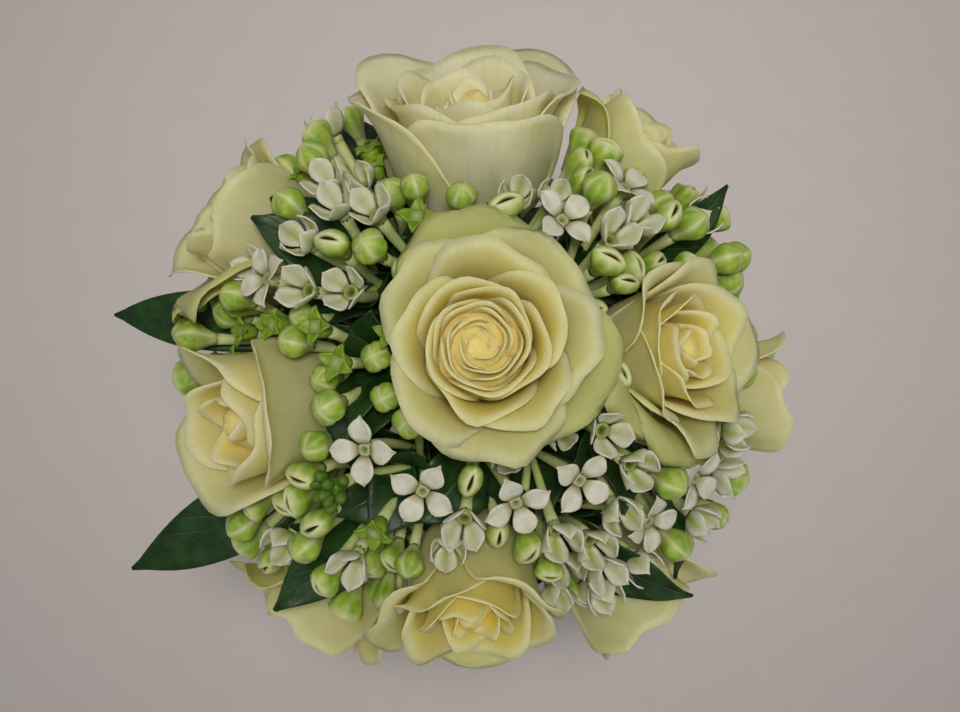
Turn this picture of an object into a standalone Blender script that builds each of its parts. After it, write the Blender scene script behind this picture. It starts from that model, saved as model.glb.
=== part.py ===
# Round hand-tied posy of white roses and bouvardia, standing on its spiralled stems
import math

import bmesh
import bpy
import numpy as np
from mathutils import Matrix, Vector

# Heights above the cut ends, in metres: the binding point and the centre of the dome of flowers
TIE_Z = 0.125
DOME_Z = 0.205
DOME = np.array([0.0, 0.0, DOME_Z])

# Stems: how fast they wind round the axis, their radii, the clearance between them, the points of
# each one's line, how far they start below the table before they are cut level, how far out they
# start in the tie, how far round they wind up to their heads, and where they leave the binding
WIND_PER_METRE = 17.0
ROSE_STEM_R = 0.0027
SPRAY_STEM_R = 0.0018
STEM_GAP = 0.0005
STEM_POINTS = 9
STEM_BELOW = 0.004
TIE_SPREAD = 0.013
TIE_LAG = 55
TIE_CLEAR = 0.002

# The binding: half its height, its wall, its sides, and its clearance from the stems
BINDING_HALF = 0.008
BINDING_WALL = 0.0014
BINDING_SIDES = 30
BINDING_GAP = 0.0007

# A full bloom: its petals' lengths from the receptacle, their thickness, the depth of the cup, and
# the gap between it and the stem's hip
PETAL_LENGTH_INNER = 0.046
PETAL_LENGTH_OUTER = 0.062
PETAL_THICK = 0.0009
PETAL_START_R = 0.002
BLOOM_DEPTH = 0.045
MEETING_GAP = 0.0003

# Slope of a petal from the axis in degrees, for the heart and what the outermost adds: at its foot,
# along its wall and at its lip, where a full opening adds more; then where the wall and lip start
FOOT_SLOPE = (32, 52)
WALL_SLOPE = (-5, 9, 16)
LIP_SLOPE = (-18, 62, 62)
WALL_FROM = 0.46
LIP_FROM = 0.66
SIDE_DROP = 0.16

# All that is turned round a bloom's axis has ten facets, so that petals of one layer lie alongside
# the next ones
FACET = math.tau / 10
INNERMOST_LAYER = 0.26

# The hip under a bloom and its five sepals
CALYX_R = 0.0066
CALYX_DEPTH = 0.010
SEPAL_REACH = 0.019
SEPAL_DROP = 0.011
SEPAL_THICK = 0.0008

# Room that a bloom needs from the other stems: the place on its axis and the radius, for the hip and
# then for the cup's foot and its mouth in a bloom of full size
HIP_ROOM = (-0.008, 0.012)
CUP_ROOM = ((0.014, 0.021), (0.034, 0.030))

# Bouvardia: distance of the branching point and of the flowers' necks from the dome's centre, the
# length of stem that branches, the tubes' radius and how much wider they are at the neck, the
# spacing of the flowers and the clearance between them, and the leaves' thickness, arch and fold
HUB_REACH = 0.072
NECK_REACH = 0.098
BRANCHING = 0.020
TUBE_R = 0.0011
TUBE_WIDENS = 1.7
FLOWER_SPACING = 0.011
FLOWER_GAP = 0.0010
GOLDEN_TURN = 2.4
LEAF_THICK = 0.0008
LEAF_ARCH = 0.14
LEAF_FOLD = 0.22

# name, azimuth, tilt from the vertical (degrees), reach of its opening from the dome's centre,
# size against a full bloom, openness 0 to 1, turn about its own axis (degrees), petals
ROSES = [
    ("rose_centre", 52, 5, 0.115, 1.00, 0.90, 20, 9),
    ("rose_back", 90, 59, 0.112, 1.20, 0.72, 200, 7),
    ("rose_right", 5, 47, 0.108, 0.94, 0.75, 80, 7),
    ("rose_left", 193, 53, 0.112, 1.12, 0.34, 10, 7),
    ("rose_front", 271, 56, 0.111, 1.00, 0.58, 140, 7),
    ("rose_back_left", 148, 75, 0.112, 1.00, 0.50, 60, 5),
    ("rose_back_right", 53, 75, 0.111, 0.86, 0.25, 300, 5),
    ("rose_far_right", 355, 90, 0.114, 0.86, 0.35, 30, 5),
    ("rose_front_left", 240, 86, 0.114, 0.94, 0.40, 250, 5),
    ("rose_front_right", 306, 84, 0.114, 0.90, 0.45, 100, 5),
]

# name, azimuth, tilt (degrees), and its flowers: b bud, h half open, o open
SPRAYS = [
    ("bouvardia_01", 121, 54, "bbbhb"),
    ("bouvardia_02", 139, 38, "hhboh"),
    ("bouvardia_03", 114, 30, "bbhb"),
    ("bouvardia_04", 70, 36, "ohbb"),
    ("bouvardia_05", 40, 36, "hbobb"),
    ("bouvardia_06", 33, 69, "bbhbh"),
    ("bouvardia_07", 171, 71, "bbbh"),
    ("bouvardia_08", 215, 70, "bbbb"),
    ("bouvardia_09", 236, 54, "bbhbb"),
    ("bouvardia_10", 178, 24, "bb"),
    ("bouvardia_11", 242, 32, "bbhb"),
    ("bouvardia_12", 277, 24, "ooho"),
    ("bouvardia_13", 304, 31, "ohoh"),
    ("bouvardia_14", 331, 41, "hbhoh"),
    ("bouvardia_15", 334, 69, "hbhbh"),
    ("bouvardia_16", 300, 58, "hohbh"),
]
FLOWER_R = {"b": 0.0069, "h": 0.0078, "o": 0.0120}

# Each leaf: its spray, where its root is on the way from the tie to the branching point (0 to 1),
# the azimuth, tilt and reach of its tip, and its width
LEAVES = [
    ("bouvardia_07", 0.8, 172, 90, 0.136, 0.022),
    ("bouvardia_08", 0.7, 211, 91, 0.150, 0.027),
    ("bouvardia_10", 0.9, 206, 27, 0.098, 0.028),
    ("bouvardia_10", 0.9, 165, 25, 0.098, 0.024),
    ("bouvardia_02", 0.9, 146, 55, 0.112, 0.024),
    ("bouvardia_09", 0.9, 231, 65, 0.122, 0.024),
    ("bouvardia_16", 0.9, 314, 68, 0.122, 0.024),
    ("bouvardia_14", 0.9, 316, 44, 0.104, 0.024),
    ("bouvardia_06", 0.9, 35, 72, 0.118, 0.018),
    ("bouvardia_04", 0.9, 84, 34, 0.098, 0.022),
    ("bouvardia_11", 0.9, 240, 42, 0.100, 0.026),
    ("bouvardia_01", 0.5, 118, 98, 0.112, 0.028),
    ("bouvardia_06", 0.5, 22, 102, 0.112, 0.028),
    ("bouvardia_07", 0.5, 188, 104, 0.116, 0.028),
    ("bouvardia_16", 0.5, 275, 100, 0.112, 0.028),
    ("bouvardia_15", 0.5, 330, 104, 0.112, 0.028),
]


def direction(azimuth, tilt):
    """Unit vector from the dome's centre, by azimuth and tilt from the vertical in degrees."""
    a, t = math.radians(azimuth), math.radians(tilt)
    return np.array([math.sin(t) * math.cos(a), math.sin(t) * math.sin(a), math.cos(t)])


def unit(vector):
    return np.array(vector) / np.linalg.norm(vector)


def across(axis):
    """Two unit vectors square to the axis and to each other."""
    side = unit(np.cross(axis, [0.3, 0.1, 1.0]))
    return side, np.cross(axis, side)


def rose_base(rose):
    """Where a rose's petals meet its receptacle."""
    _, azimuth, tilt, reach, size, *_ = rose
    return DOME + direction(azimuth, tilt) * (reach - BLOOM_DEPTH * size)


# Layout of the stems

def pack_at_tie(heads, radii):
    """Places of the stems in the tie's plane: each starts behind its head, then the circles settle
    round the first, which is the axis."""
    places = np.array([
        [TIE_SPREAD * min(1.0, tilt / 80) * f(math.radians(azimuth - TIE_LAG)) for f in (math.cos, math.sin)]
        for azimuth, tilt in heads
    ])
    reach = radii[:, None] + radii[None, :] + STEM_GAP
    for _ in range(600):
        places *= 0.997
        for _ in range(4):
            apart = places[:, None] - places[None, :]
            distance = np.linalg.norm(apart, axis=2) + np.eye(len(radii))
            short = np.clip(reach - distance, 0, None) * (1 - np.eye(len(radii)))
            places += 0.5 * (apart / distance[:, :, None] * short[:, :, None]).sum(axis=1)
    return places - places[0]


def winding(place, height):
    """A stem's straight lower part: all of them wind on one hyperboloid, so none meet."""
    turn = WIND_PER_METRE * (height - TIE_Z)
    return np.array([place[0] - turn * place[1], place[1] + turn * place[0], height])


def route(place, top, lean):
    """A stem's line from the binding to its head, leaving it with the winding slant."""
    start = winding(place, TIE_Z + BINDING_HALF + TIE_CLEAR)
    wind = np.array([-place[1] * WIND_PER_METRE, place[0] * WIND_PER_METRE, 1.0])
    length = np.linalg.norm(top - start)
    t = np.linspace(0, 1, STEM_POINTS)[:, None]
    return (
        (2 * t**3 - 3 * t**2 + 1) * start
        + (t**3 - 2 * t**2 + t) * wind * length * 0.9
        + (3 * t**2 - 2 * t**3) * top
        + (t**3 - t**2) * lean * length * 0.8
    )


def clear_routes(routes, radii, obstacles, parts=6, rounds=90):
    """Bends the stems apart above the tie until none touches another or another rose's bloom."""
    routes = np.array(routes)
    count, samples = routes.shape[:2]
    fine = parts * (samples - 1) + 1
    weights = np.zeros((fine, samples))
    for row in range(fine):
        low = min(row // parts, samples - 2)
        share = row / parts - low
        weights[row, low], weights[row, low + 1] = 1 - share, share
    owner = np.repeat(np.arange(count), fine)
    still = np.array([centre for _, centre, _ in obstacles])
    all_owner = np.concatenate([owner, [index for index, _, _ in obstacles]])
    all_r = np.concatenate([np.repeat(radii, fine), [radius for _, _, radius in obstacles]])
    other = owner[:, None] != all_owner[None, :]
    limit = all_r[: len(owner), None] + all_r[None, :] + 1.5 * STEM_GAP
    free = np.ones(samples)
    free[0] = free[-1] = 0
    free[1] = free[-2] = 0.4
    for _ in range(rounds):
        points = np.einsum("fs,csx->cfx", weights, routes).reshape(-1, 3)
        everything = np.concatenate([points, still])
        square = (points**2).sum(axis=1)[:, None] + (everything**2).sum(axis=1)[None, :]
        distance = np.sqrt(np.clip(square - 2 * points @ everything.T, 1e-12, None))
        push = np.where(other, np.clip(limit - distance, 0, None), 0) / distance
        shift = points * push.sum(axis=1)[:, None] - push @ everything
        shift /= np.maximum((push > 0).sum(axis=1), 1)[:, None] ** 0.5
        move = np.einsum("fs,cfx->csx", weights, shift.reshape(count, fine, 3)) / 3
        routes += move * free[None, :, None]
        routes[:, 1:-1] += 0.06 * (
            (routes[:, :-2] + routes[:, 2:]) / 2 - routes[:, 1:-1]
        ) * free[None, 1:-1, None]
    return routes


# Layout of the flowers

def spread_flowers():
    """Places of the bouvardia flowers' necks, off the roses and off each other, and the nearest spray."""
    kinds, places, homes = [], [], []
    for index, (_, azimuth, tilt, flowers) in enumerate(SPRAYS):
        axis = direction(azimuth, tilt)
        side, up = across(axis)
        for k, kind in enumerate(flowers):
            away = FLOWER_SPACING * math.sqrt(k + 0.4)
            turn = GOLDEN_TURN * k + index
            kinds.append(kind)
            place = axis * NECK_REACH + away * (math.cos(turn) * side + math.sin(turn) * up)
            places.append(unit(place) * NECK_REACH)
            homes.append(axis * NECK_REACH)
    places, homes = np.array(places), np.array(homes)
    sizes = np.array([FLOWER_R[kind] for kind in kinds])
    reach = sizes[:, None] + sizes[None, :] + FLOWER_GAP
    roses = np.array([direction(azimuth, tilt) * NECK_REACH for _, azimuth, tilt, *_ in ROSES])
    rose_r = np.array([bloom_radius(size, openness) for _, _, _, _, size, openness, *_ in ROSES])
    alone = 1 - np.eye(len(sizes))
    for step in range(300):
        apart = places[:, None] - places[None, :]
        distance = np.linalg.norm(apart, axis=2) + np.eye(len(sizes))
        short = np.clip(reach - distance, 0, None) * alone
        places += 0.4 * (apart / distance[:, :, None] * short[:, :, None]).sum(axis=1)
        away = places[:, None] - roses[None, :]
        distance = np.linalg.norm(away, axis=2)
        short = np.clip(rose_r[None, :] + 0.9 * sizes[:, None] - distance, 0, None)
        places += 0.7 * (away / distance[:, :, None] * short[:, :, None]).sum(axis=1)
        if step < 250:
            places += 0.02 * (homes - places)
        places *= NECK_REACH / np.linalg.norm(places, axis=1)[:, None]
    axes = np.array([direction(azimuth, tilt) for _, azimuth, tilt, _ in SPRAYS])
    return (places @ axes.T).argmax(axis=1), kinds, places


# Petals

def bloom_radius(size, openness):
    """Radius of a bloom across its outer petals."""
    return petal_line(1.0, openness)[0][-1] * size


def petal_line(layer, openness, steps=24):
    """A petal's outline from the receptacle up, seen from the side: layer 0 is the heart, 1 the outermost."""
    x = (np.arange(steps) + 0.5) / steps
    foot = math.radians(FOOT_SLOPE[0] + FOOT_SLOPE[1] * layer**0.6)
    wall = math.radians(WALL_SLOPE[0] + (WALL_SLOPE[1] + WALL_SLOPE[2] * openness) * layer**1.2)
    lip = math.radians(LIP_SLOPE[0] + (LIP_SLOPE[1] + LIP_SLOPE[2] * openness) * layer**1.4)
    rise = np.clip(x / WALL_FROM, 0, 1)
    rise = rise * rise * (3 - 2 * rise)
    fall = np.clip((x - LIP_FROM) / (1 - LIP_FROM), 0, 1) ** 1.3
    slope = foot + (wall - foot) * rise + (lip - wall) * fall
    length = (PETAL_LENGTH_INNER + (PETAL_LENGTH_OUTER - PETAL_LENGTH_INNER) * layer) / steps
    r = PETAL_START_R + np.concatenate([[0.0], np.cumsum(np.sin(slope)) * length])
    z = np.concatenate([[0.0], np.cumsum(np.cos(slope)) * length])
    return r, z


def on_line(line, x):
    """Radius and height at a share x of a petal's length."""
    at = np.linspace(0, 1, len(line[0]))
    return float(np.interp(x, at, line[0])), float(np.interp(x, at, line[1]))


def petal(layer, openness, turn):
    """One petal as an open grid, from inside the core up. All petals share their facets' angles,
    so that those of one layer lie alongside the next ones and don't cross them."""
    foot = 0.60 - 0.42 * layer
    rows = (foot, 0.78, 1.0) if layer < 0.6 else (foot, WALL_FROM, 0.76, 1.0)
    mesh = bmesh.new()
    bmesh.ops.create_grid(mesh, x_segments=4, y_segments=len(rows) - 1, size=1)
    line = petal_line(layer, openness)
    for vertex in mesh.verts:
        s = vertex.co.x
        row = rows[round((vertex.co.y + 1) / 2 * (len(rows) - 1))]
        drop = 1 - SIDE_DROP * abs(s) ** 2.4 * (row - rows[0]) / (1 - rows[0])
        radius, height = on_line(line, row * drop)
        angle = turn + s * 2 * FACET
        vertex.co = (radius * math.cos(angle), radius * math.sin(angle), height)
    bmesh.ops.recalc_face_normals(mesh, faces=mesh.faces)
    return mesh


def core(openness):
    """The closed core that the petals stand out of: a bowl below, a bud with a sunk top above."""
    inner, outer = petal_line(0.2, openness), petal_line(1.0, openness)
    top_r, top_z = on_line(inner, 0.90)
    bowl_r, bowl_z = on_line(outer, 0.36)
    turned = [
        (CALYX_R, 0.0),
        (on_line(outer, 0.24)[0], on_line(outer, 0.24)[1] + 0.0012),
        (bowl_r - 0.002, bowl_z + 0.002),
        (top_r + 0.001, top_z),
        (top_r * 0.55, top_z + 0.001),
    ]
    rings = [
        [(r * math.cos(a), r * math.sin(a), z) for a in np.arange(10) * FACET]
        for r, z in turned
    ]
    mesh = bmesh.new()
    loft(mesh, rings + [[(0, 0, top_z - 0.004)]])
    return mesh


# Meshes and joining

def mesh_object(name, mesh, collection):
    data = bpy.data.meshes.new(name)
    mesh.to_mesh(data)
    mesh.free()
    item = bpy.data.objects.new(name, data)
    collection.objects.link(item)
    return item


def loft(mesh, rings):
    """Joins rings of points into one closed skin. A ring may have one point, or more than the last."""
    made = [[mesh.verts.new(point) for point in ring] for ring in rings]
    for low, high in zip(made, made[1:]):
        n, m = len(low), len(high)
        if m == 1:
            for k in range(n):
                mesh.faces.new((low[k], low[(k + 1) % n], high[0]))
        elif n == m:
            for k in range(n):
                j = (k + 1) % n
                mesh.faces.new((low[k], low[j], high[j], high[k]))
        else:
            step = m // n
            for k in range(n):
                j = (k + 1) % n
                middle = k * step + step // 2
                for i in range(step):
                    a, b = high[(k * step + i) % m], high[(k * step + i + 1) % m]
                    near = low[k] if k * step + i < middle else low[j]
                    mesh.faces.new((near, b, a))
                mesh.faces.new((low[k], low[j], high[middle % m]))
    mesh.faces.new(made[0][::-1])
    if len(made[-1]) > 2:
        mesh.faces.new(made[-1])
    bmesh.ops.recalc_face_normals(mesh, faces=mesh.faces)


def apply_modifiers(item):
    bpy.context.view_layer.update()
    graph = bpy.context.evaluated_depsgraph_get()
    data = bpy.data.meshes.new_from_object(item.evaluated_get(graph))
    item.modifiers.clear()
    item.data = data


def thicken(item, thickness):
    wall = item.modifiers.new("wall", "SOLIDIFY")
    wall.thickness = thickness
    wall.offset = 0
    apply_modifiers(item)


def keep_largest(data):
    """Leaves the largest closed skin alone: a hollow that fusing sealed is filled, a scrap dropped."""
    mesh = bmesh.new()
    mesh.from_mesh(data)
    left, skins = set(mesh.faces), []
    while left:
        skin, edge = set(), [next(iter(left))]
        while edge:
            face = edge.pop()
            if face in skin:
                continue
            skin.add(face)
            sides = [e for e in face.edges if len(e.link_faces) == 2]
            edge += [other for e in sides for other in e.link_faces]
        left -= skin
        skins.append(skin)
    skins.sort(key=len)
    scraps = [face for skin in skins[:-1] for face in skin]
    bmesh.ops.delete(mesh, geom=scraps, context="FACES")
    mesh.to_mesh(data)
    mesh.free()


def united(base, pieces, name, solver="MANIFOLD"):
    """Base and pieces as one solid; the pieces' objects are then removed."""
    group = bpy.data.collections.new(name)
    bpy.context.scene.collection.children.link(group)
    for piece in pieces:
        for old in piece.users_collection:
            old.objects.unlink(piece)
        group.objects.link(piece)
    join = base.modifiers.new("join", "BOOLEAN")
    join.operation = "UNION"
    join.solver = solver
    join.operand_type = "COLLECTION"
    join.collection = group
    apply_modifiers(base)
    for piece in pieces:
        bpy.data.objects.remove(piece)
    bpy.data.collections.remove(group)
    keep_largest(base.data)
    base.name = name
    return base


def stem_tube(name, points, radius, sides, collection):
    """A stem as a bevelled curve made a mesh, with its caps welded on and its foot cut level."""
    curve = bpy.data.curves.new(name, "CURVE")
    curve.dimensions = "3D"
    curve.bevel_depth = radius
    curve.bevel_resolution = sides // 2 - 2
    curve.use_fill_caps = True
    spline = curve.splines.new("POLY")
    spline.points.add(len(points) - 1)
    for point, place in zip(spline.points, points):
        point.co = (*place, 1)
    item = bpy.data.objects.new(name, curve)
    collection.objects.link(item)
    bpy.context.view_layer.update()
    graph = bpy.context.evaluated_depsgraph_get()
    data = bpy.data.meshes.new_from_object(item.evaluated_get(graph))
    mesh = bmesh.new()
    mesh.from_mesh(data)
    bmesh.ops.remove_doubles(mesh, verts=mesh.verts, dist=0.00002)
    everything = mesh.verts[:] + mesh.edges[:] + mesh.faces[:]
    bmesh.ops.bisect_plane(mesh, geom=everything, plane_co=(0, 0, 0), plane_no=(0, 0, 1), clear_inner=True)
    bmesh.ops.holes_fill(mesh, edges=mesh.edges)
    bmesh.ops.recalc_face_normals(mesh, faces=mesh.faces)
    mesh.to_mesh(data)
    mesh.free()
    bpy.data.objects.remove(item)
    solid = bpy.data.objects.new(name, data)
    collection.objects.link(solid)
    return solid


def material(name, colour, roughness):
    made = bpy.data.materials.new(name)
    made.use_nodes = True
    shader = made.node_tree.nodes["Principled BSDF"]
    shader.inputs["Base Color"].default_value = (*colour, 1)
    shader.inputs["Roughness"].default_value = roughness
    return made


def finish(item, look):
    item.data.materials.clear()
    item.data.materials.append(look)


def frame_of(axis, turn=0.0):
    """Rotation that takes +Z to the axis, after a turn about it."""
    return Vector(axis).to_track_quat("Z", "Y").to_matrix().to_4x4() @ Matrix.Rotation(turn, 4, "Z")


# Pieces

def make_bloom(rose, collection, look):
    name, azimuth, tilt, _, size, openness, turn, petals = rose
    base = mesh_object(name, core(openness), collection)
    pieces = []
    for k in range(petals):
        layer = INNERMOST_LAYER + (1 - INNERMOST_LAYER) * k / (petals - 1)
        whorl = (4 * k + k // 5) * FACET
        piece = mesh_object(f"{name}_petal", petal(layer, openness, whorl), collection)
        thicken(piece, PETAL_THICK / size)
        pieces.append(piece)
    bloom = united(base, pieces, f"{name}_bloom")
    place = Matrix.Translation(rose_base(rose)) @ frame_of(direction(azimuth, tilt), math.radians(turn))
    bloom.data.transform(place @ Matrix.Scale(size, 4))
    finish(bloom, look)


def make_rose_stem(rose, points, collection, look):
    """A rose's stem with its receptacle and five turned-back sepals."""
    name, azimuth, tilt, _, size, _, turn, _ = rose
    stem = stem_tube(name, points, ROSE_STEM_R, 6, collection)
    top = -MEETING_GAP
    fifth = np.arange(5) * math.tau / 5
    tenth = np.arange(10) * math.tau / 10

    def ring(angles, radii, heights):
        return [(r * math.cos(a), r * math.sin(a), z) for a, r, z in zip(angles, radii, heights)]

    tips = np.arange(10) % 2 == 1
    mesh = bmesh.new()
    loft(mesh, [
        ring(fifth, [ROSE_STEM_R * 1.15] * 5, [top - CALYX_DEPTH - 0.002] * 5),
        ring(fifth, [CALYX_R * 0.9] * 5, [top - CALYX_DEPTH / 2] * 5),
        ring(tenth, np.where(tips, SEPAL_REACH, CALYX_R * 0.95),
             np.where(tips, top - SEPAL_DROP, top - 0.0025)),
        ring(tenth, np.where(tips, SEPAL_REACH, CALYX_R),
             np.where(tips, top - SEPAL_DROP + SEPAL_THICK, top - SEPAL_THICK)),
        ring(tenth, [CALYX_R * 0.95] * 10, [top] * 10),
    ])
    calyx = mesh_object(f"{name}_calyx", mesh, collection)
    place = Matrix.Translation(rose_base(rose)) @ frame_of(direction(azimuth, tilt), math.radians(turn))
    calyx.data.transform(place)
    bpy.context.view_layer.update()
    finish(united(stem, [calyx], f"{name}_stem", "EXACT"), look)


def flower(kind, root, neck, turn):
    """A bouvardia flower with its long tube, from its root on the stem: bud, half open or open."""
    axis = unit(0.3 * unit(neck - root) + 0.7 * unit(neck - DOME))
    side, up = across(axis)
    r = FLOWER_R[kind]

    def ring(place, count, radii, heights):
        angles = turn + np.arange(count) * math.tau / count
        return [
            place + axis * z + radius * (math.cos(a) * side + math.sin(a) * up)
            for a, radius, z in zip(angles, np.resize(radii, count), np.resize(heights, count))
        ]

    # radii and heights above the neck of the ribs and of what lies between them, ring by ring
    rings = [ring(root, 4, [TUBE_R], [0]), ring(neck, 4, [TUBE_R * TUBE_WIDENS], [0])]
    if kind == "b":
        rings += [
            ring(neck, 8, [0.80 * r, 0.60 * r], [0.0035]),
            ring(neck, 8, [r, 0.74 * r], [0.0080, 0.0072]),
            [neck + axis * 0.0112],
        ]
    elif kind == "h":
        rings += [
            ring(neck, 8, [0.62 * r, 0.52 * r], [0.0040]),
            ring(neck, 8, [r, 0.66 * r], [0.0120, 0.0082]),
            [neck + axis * 0.0060],
        ]
    else:
        star = [r, 0.66 * r, 0.30 * r, 0.66 * r]
        rise = [0.0058, 0.0062, 0.0050, 0.0062]
        rings += [
            ring(neck, 8, [0.0030, 0.0024], [0.0038]),
            ring(neck, 16, star, rise),
            ring(neck, 16, np.array(star) * 0.98, np.array(rise) + 0.0010),
            [neck + axis * 0.0046],
        ]
    mesh = bmesh.new()
    loft(mesh, rings)
    return mesh


def leaf(root, tip, width):
    """A pointed oval leaf, folded a little along its rib and arched, as an open grid."""
    mesh = bmesh.new()
    bmesh.ops.create_grid(mesh, x_segments=2, y_segments=4, size=1)
    along = tip - root
    out = unit(root + tip - 2 * DOME + np.array([0, 0, 0.02]))
    side = unit(np.cross(along, out))
    up = np.cross(side, unit(along))
    arch = LEAF_ARCH * np.linalg.norm(along)
    for vertex in mesh.verts:
        s, t = vertex.co.x, (vertex.co.y + 1) / 2
        wide = max(math.sin(math.pi * t**1.1) ** 0.8 if t < 1 else 0, 0.09) * width / 2
        rise = arch * 4 * t * (1 - t) + LEAF_FOLD * abs(s) * wide
        vertex.co = Vector(root + along * t + side * s * wide + up * rise)
    bmesh.ops.recalc_face_normals(mesh, faces=mesh.faces)
    return mesh


def make_spray(spray, index, points, flowers, collection, look):
    """A bouvardia stem with its flowers and leaves, all grown together."""
    name = spray[0]
    stem = stem_tube(name, points, SPRAY_STEM_R, 4, collection)
    pieces = []
    top, before = points[-1], points[-2]
    back = unit(before - top)
    for k, (kind, neck) in enumerate(flowers):
        root = top + back * (0.002 + BRANCHING * k / len(flowers))
        mesh = flower(kind, root, neck, 0.7 * k + index)
        pieces.append(mesh_object(f"{name}_flower", mesh, collection))
    for owner, share, azimuth, tilt, reach, width in LEAVES:
        if owner == name:
            at = 1 + share * (len(points) - 2)
            low = min(int(at), len(points) - 2)
            root = points[low] + (at - low) * (points[low + 1] - points[low])
            tip = DOME + direction(azimuth, tilt) * reach
            blade = mesh_object(f"{name}_leaf", leaf(root, tip, width), collection)
            thicken(blade, LEAF_THICK)
            pieces.append(blade)
    finish(united(stem, pieces, name), look)


def make_binding(places, radii, collection, look):
    """The band that ties the stems: its inner side follows the bundle's outline."""
    facing = np.arange(90) * math.tau / 90
    outward = np.stack([np.cos(facing), np.sin(facing)])
    levels = [TIE_Z - BINDING_HALF, TIE_Z, TIE_Z + BINDING_HALF]
    stems = np.array([[winding(place, level)[:2] for place in places] for level in levels])
    support = (stems @ outward + radii[:, None]).max(axis=(0, 1)) + BINDING_GAP
    rings = []
    for wall, z in ((0, -1), (BINDING_WALL, -1), (BINDING_WALL, 1), (0, 1)):
        ring = []
        for angle in np.arange(BINDING_SIDES) * math.tau / BINDING_SIDES:
            turned = np.cos(facing - angle)
            reach = ((support + wall)[turned > 0.3] / turned[turned > 0.3]).min()
            ring.append((reach * math.cos(angle), reach * math.sin(angle), TIE_Z + z * BINDING_HALF))
        rings.append(ring)
    mesh = bmesh.new()
    made = [[mesh.verts.new(point) for point in ring] for ring in rings]
    for low, high in zip(made, made[1:] + made[:1]):
        for k in range(BINDING_SIDES):
            j = (k + 1) % BINDING_SIDES
            mesh.faces.new((low[k], low[j], high[j], high[k]))
    bmesh.ops.recalc_face_normals(mesh, faces=mesh.faces)
    finish(mesh_object("binding", mesh, collection), look)


def main():
    for item in list(bpy.data.objects):
        bpy.data.objects.remove(item)
    posy = bpy.data.collections.new("bouquet")
    bpy.context.scene.collection.children.link(posy)
    petal_white = material("petal_white", (0.80, 0.78, 0.56), 0.55)
    stem_green = material("stem_green", (0.16, 0.28, 0.06), 0.5)
    spray_green = material("spray_green", (0.42, 0.56, 0.20), 0.5)
    raffia = material("raffia", (0.62, 0.47, 0.26), 0.7)

    heads = [(azimuth, tilt) for _, azimuth, tilt, *_ in ROSES + SPRAYS]
    radii = np.array([ROSE_STEM_R] * len(ROSES) + [SPRAY_STEM_R] * len(SPRAYS))
    places = pack_at_tie(heads, radii)
    routes, obstacles = [], []
    for index, (azimuth, tilt) in enumerate(heads):
        axis = direction(azimuth, tilt)
        if index < len(ROSES):
            base, size = rose_base(ROSES[index]), ROSES[index][4]
            top = base - axis * (MEETING_GAP + CALYX_DEPTH)
            obstacles.append((index, base + axis * HIP_ROOM[0], HIP_ROOM[1]))
            obstacles += [(index, base + axis * up * size, radius * size) for up, radius in CUP_ROOM]
        else:
            top = DOME + axis * HUB_REACH
        routes.append(route(places[index], top, axis))
    routes = clear_routes(routes, radii, obstacles)

    owners, kinds, necks = spread_flowers()
    for index, place in enumerate(places):
        points = np.concatenate([[winding(place, -STEM_BELOW)], routes[index]])
        if index < len(ROSES):
            make_bloom(ROSES[index], posy, petal_white)
            make_rose_stem(ROSES[index], points, posy, stem_green)
        else:
            spray = index - len(ROSES)
            flowers = [(k, DOME + neck) for o, k, neck in zip(owners, kinds, necks) if o == spray]
            make_spray(SPRAYS[spray], spray, points, flowers, posy, spray_green)
    make_binding(places, radii, posy, raffia)


main()
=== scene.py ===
# Hand-tied posy of cream roses and white bouvardia, seen from straight above as in the photograph.
# Lengths are in metres, the posy stands on its cut stems at z = 0, and +Y is the top of the photograph.
import math
import random

import bpy
import numpy as np
from mathutils import Matrix, Vector


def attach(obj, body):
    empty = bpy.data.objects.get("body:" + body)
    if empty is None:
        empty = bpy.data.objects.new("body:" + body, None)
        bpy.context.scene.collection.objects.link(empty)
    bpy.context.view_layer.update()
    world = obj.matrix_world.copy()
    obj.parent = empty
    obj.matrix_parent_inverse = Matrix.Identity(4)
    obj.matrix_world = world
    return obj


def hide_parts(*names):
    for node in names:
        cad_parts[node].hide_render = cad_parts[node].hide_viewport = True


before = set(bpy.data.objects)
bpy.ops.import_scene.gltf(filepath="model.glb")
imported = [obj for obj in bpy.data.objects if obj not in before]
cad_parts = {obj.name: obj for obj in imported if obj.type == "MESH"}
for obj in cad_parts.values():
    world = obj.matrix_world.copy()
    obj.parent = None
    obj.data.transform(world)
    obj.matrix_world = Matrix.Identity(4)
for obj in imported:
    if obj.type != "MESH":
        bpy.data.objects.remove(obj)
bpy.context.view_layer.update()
turnFull = 2 * math.pi
spiralTurn = 2.4  # radians from one petal, flower or bud of a spiral to the next

# where things stand, the same as in the part's own source
posy = {
    "tieHeight": 0.125,        # binding point
    "domeHeight": 0.205,       # centre of the dome of flowers
    "windPerMetre": 17.0,      # how fast the stems wind round the axis
    "roseStemRadius": 0.0027,
    "sprayStemRadius": 0.0018,
    "stemGap": 0.0005,
    "stemPoints": 9,
    "bindingHalf": 0.008,
    "bloomDepth": 0.045,
    "calyxRadius": 0.0066,
    "calyxDepth": 0.010,
    "meetingGap": 0.0003,
    "hubReach": 0.072,         # branching point of a spray
    "neckReach": 0.098,        # where the flowers sit on their tubes
    "branching": 0.020,
}
domeCentre = np.array([0.0, 0.0, posy["domeHeight"]])

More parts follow.
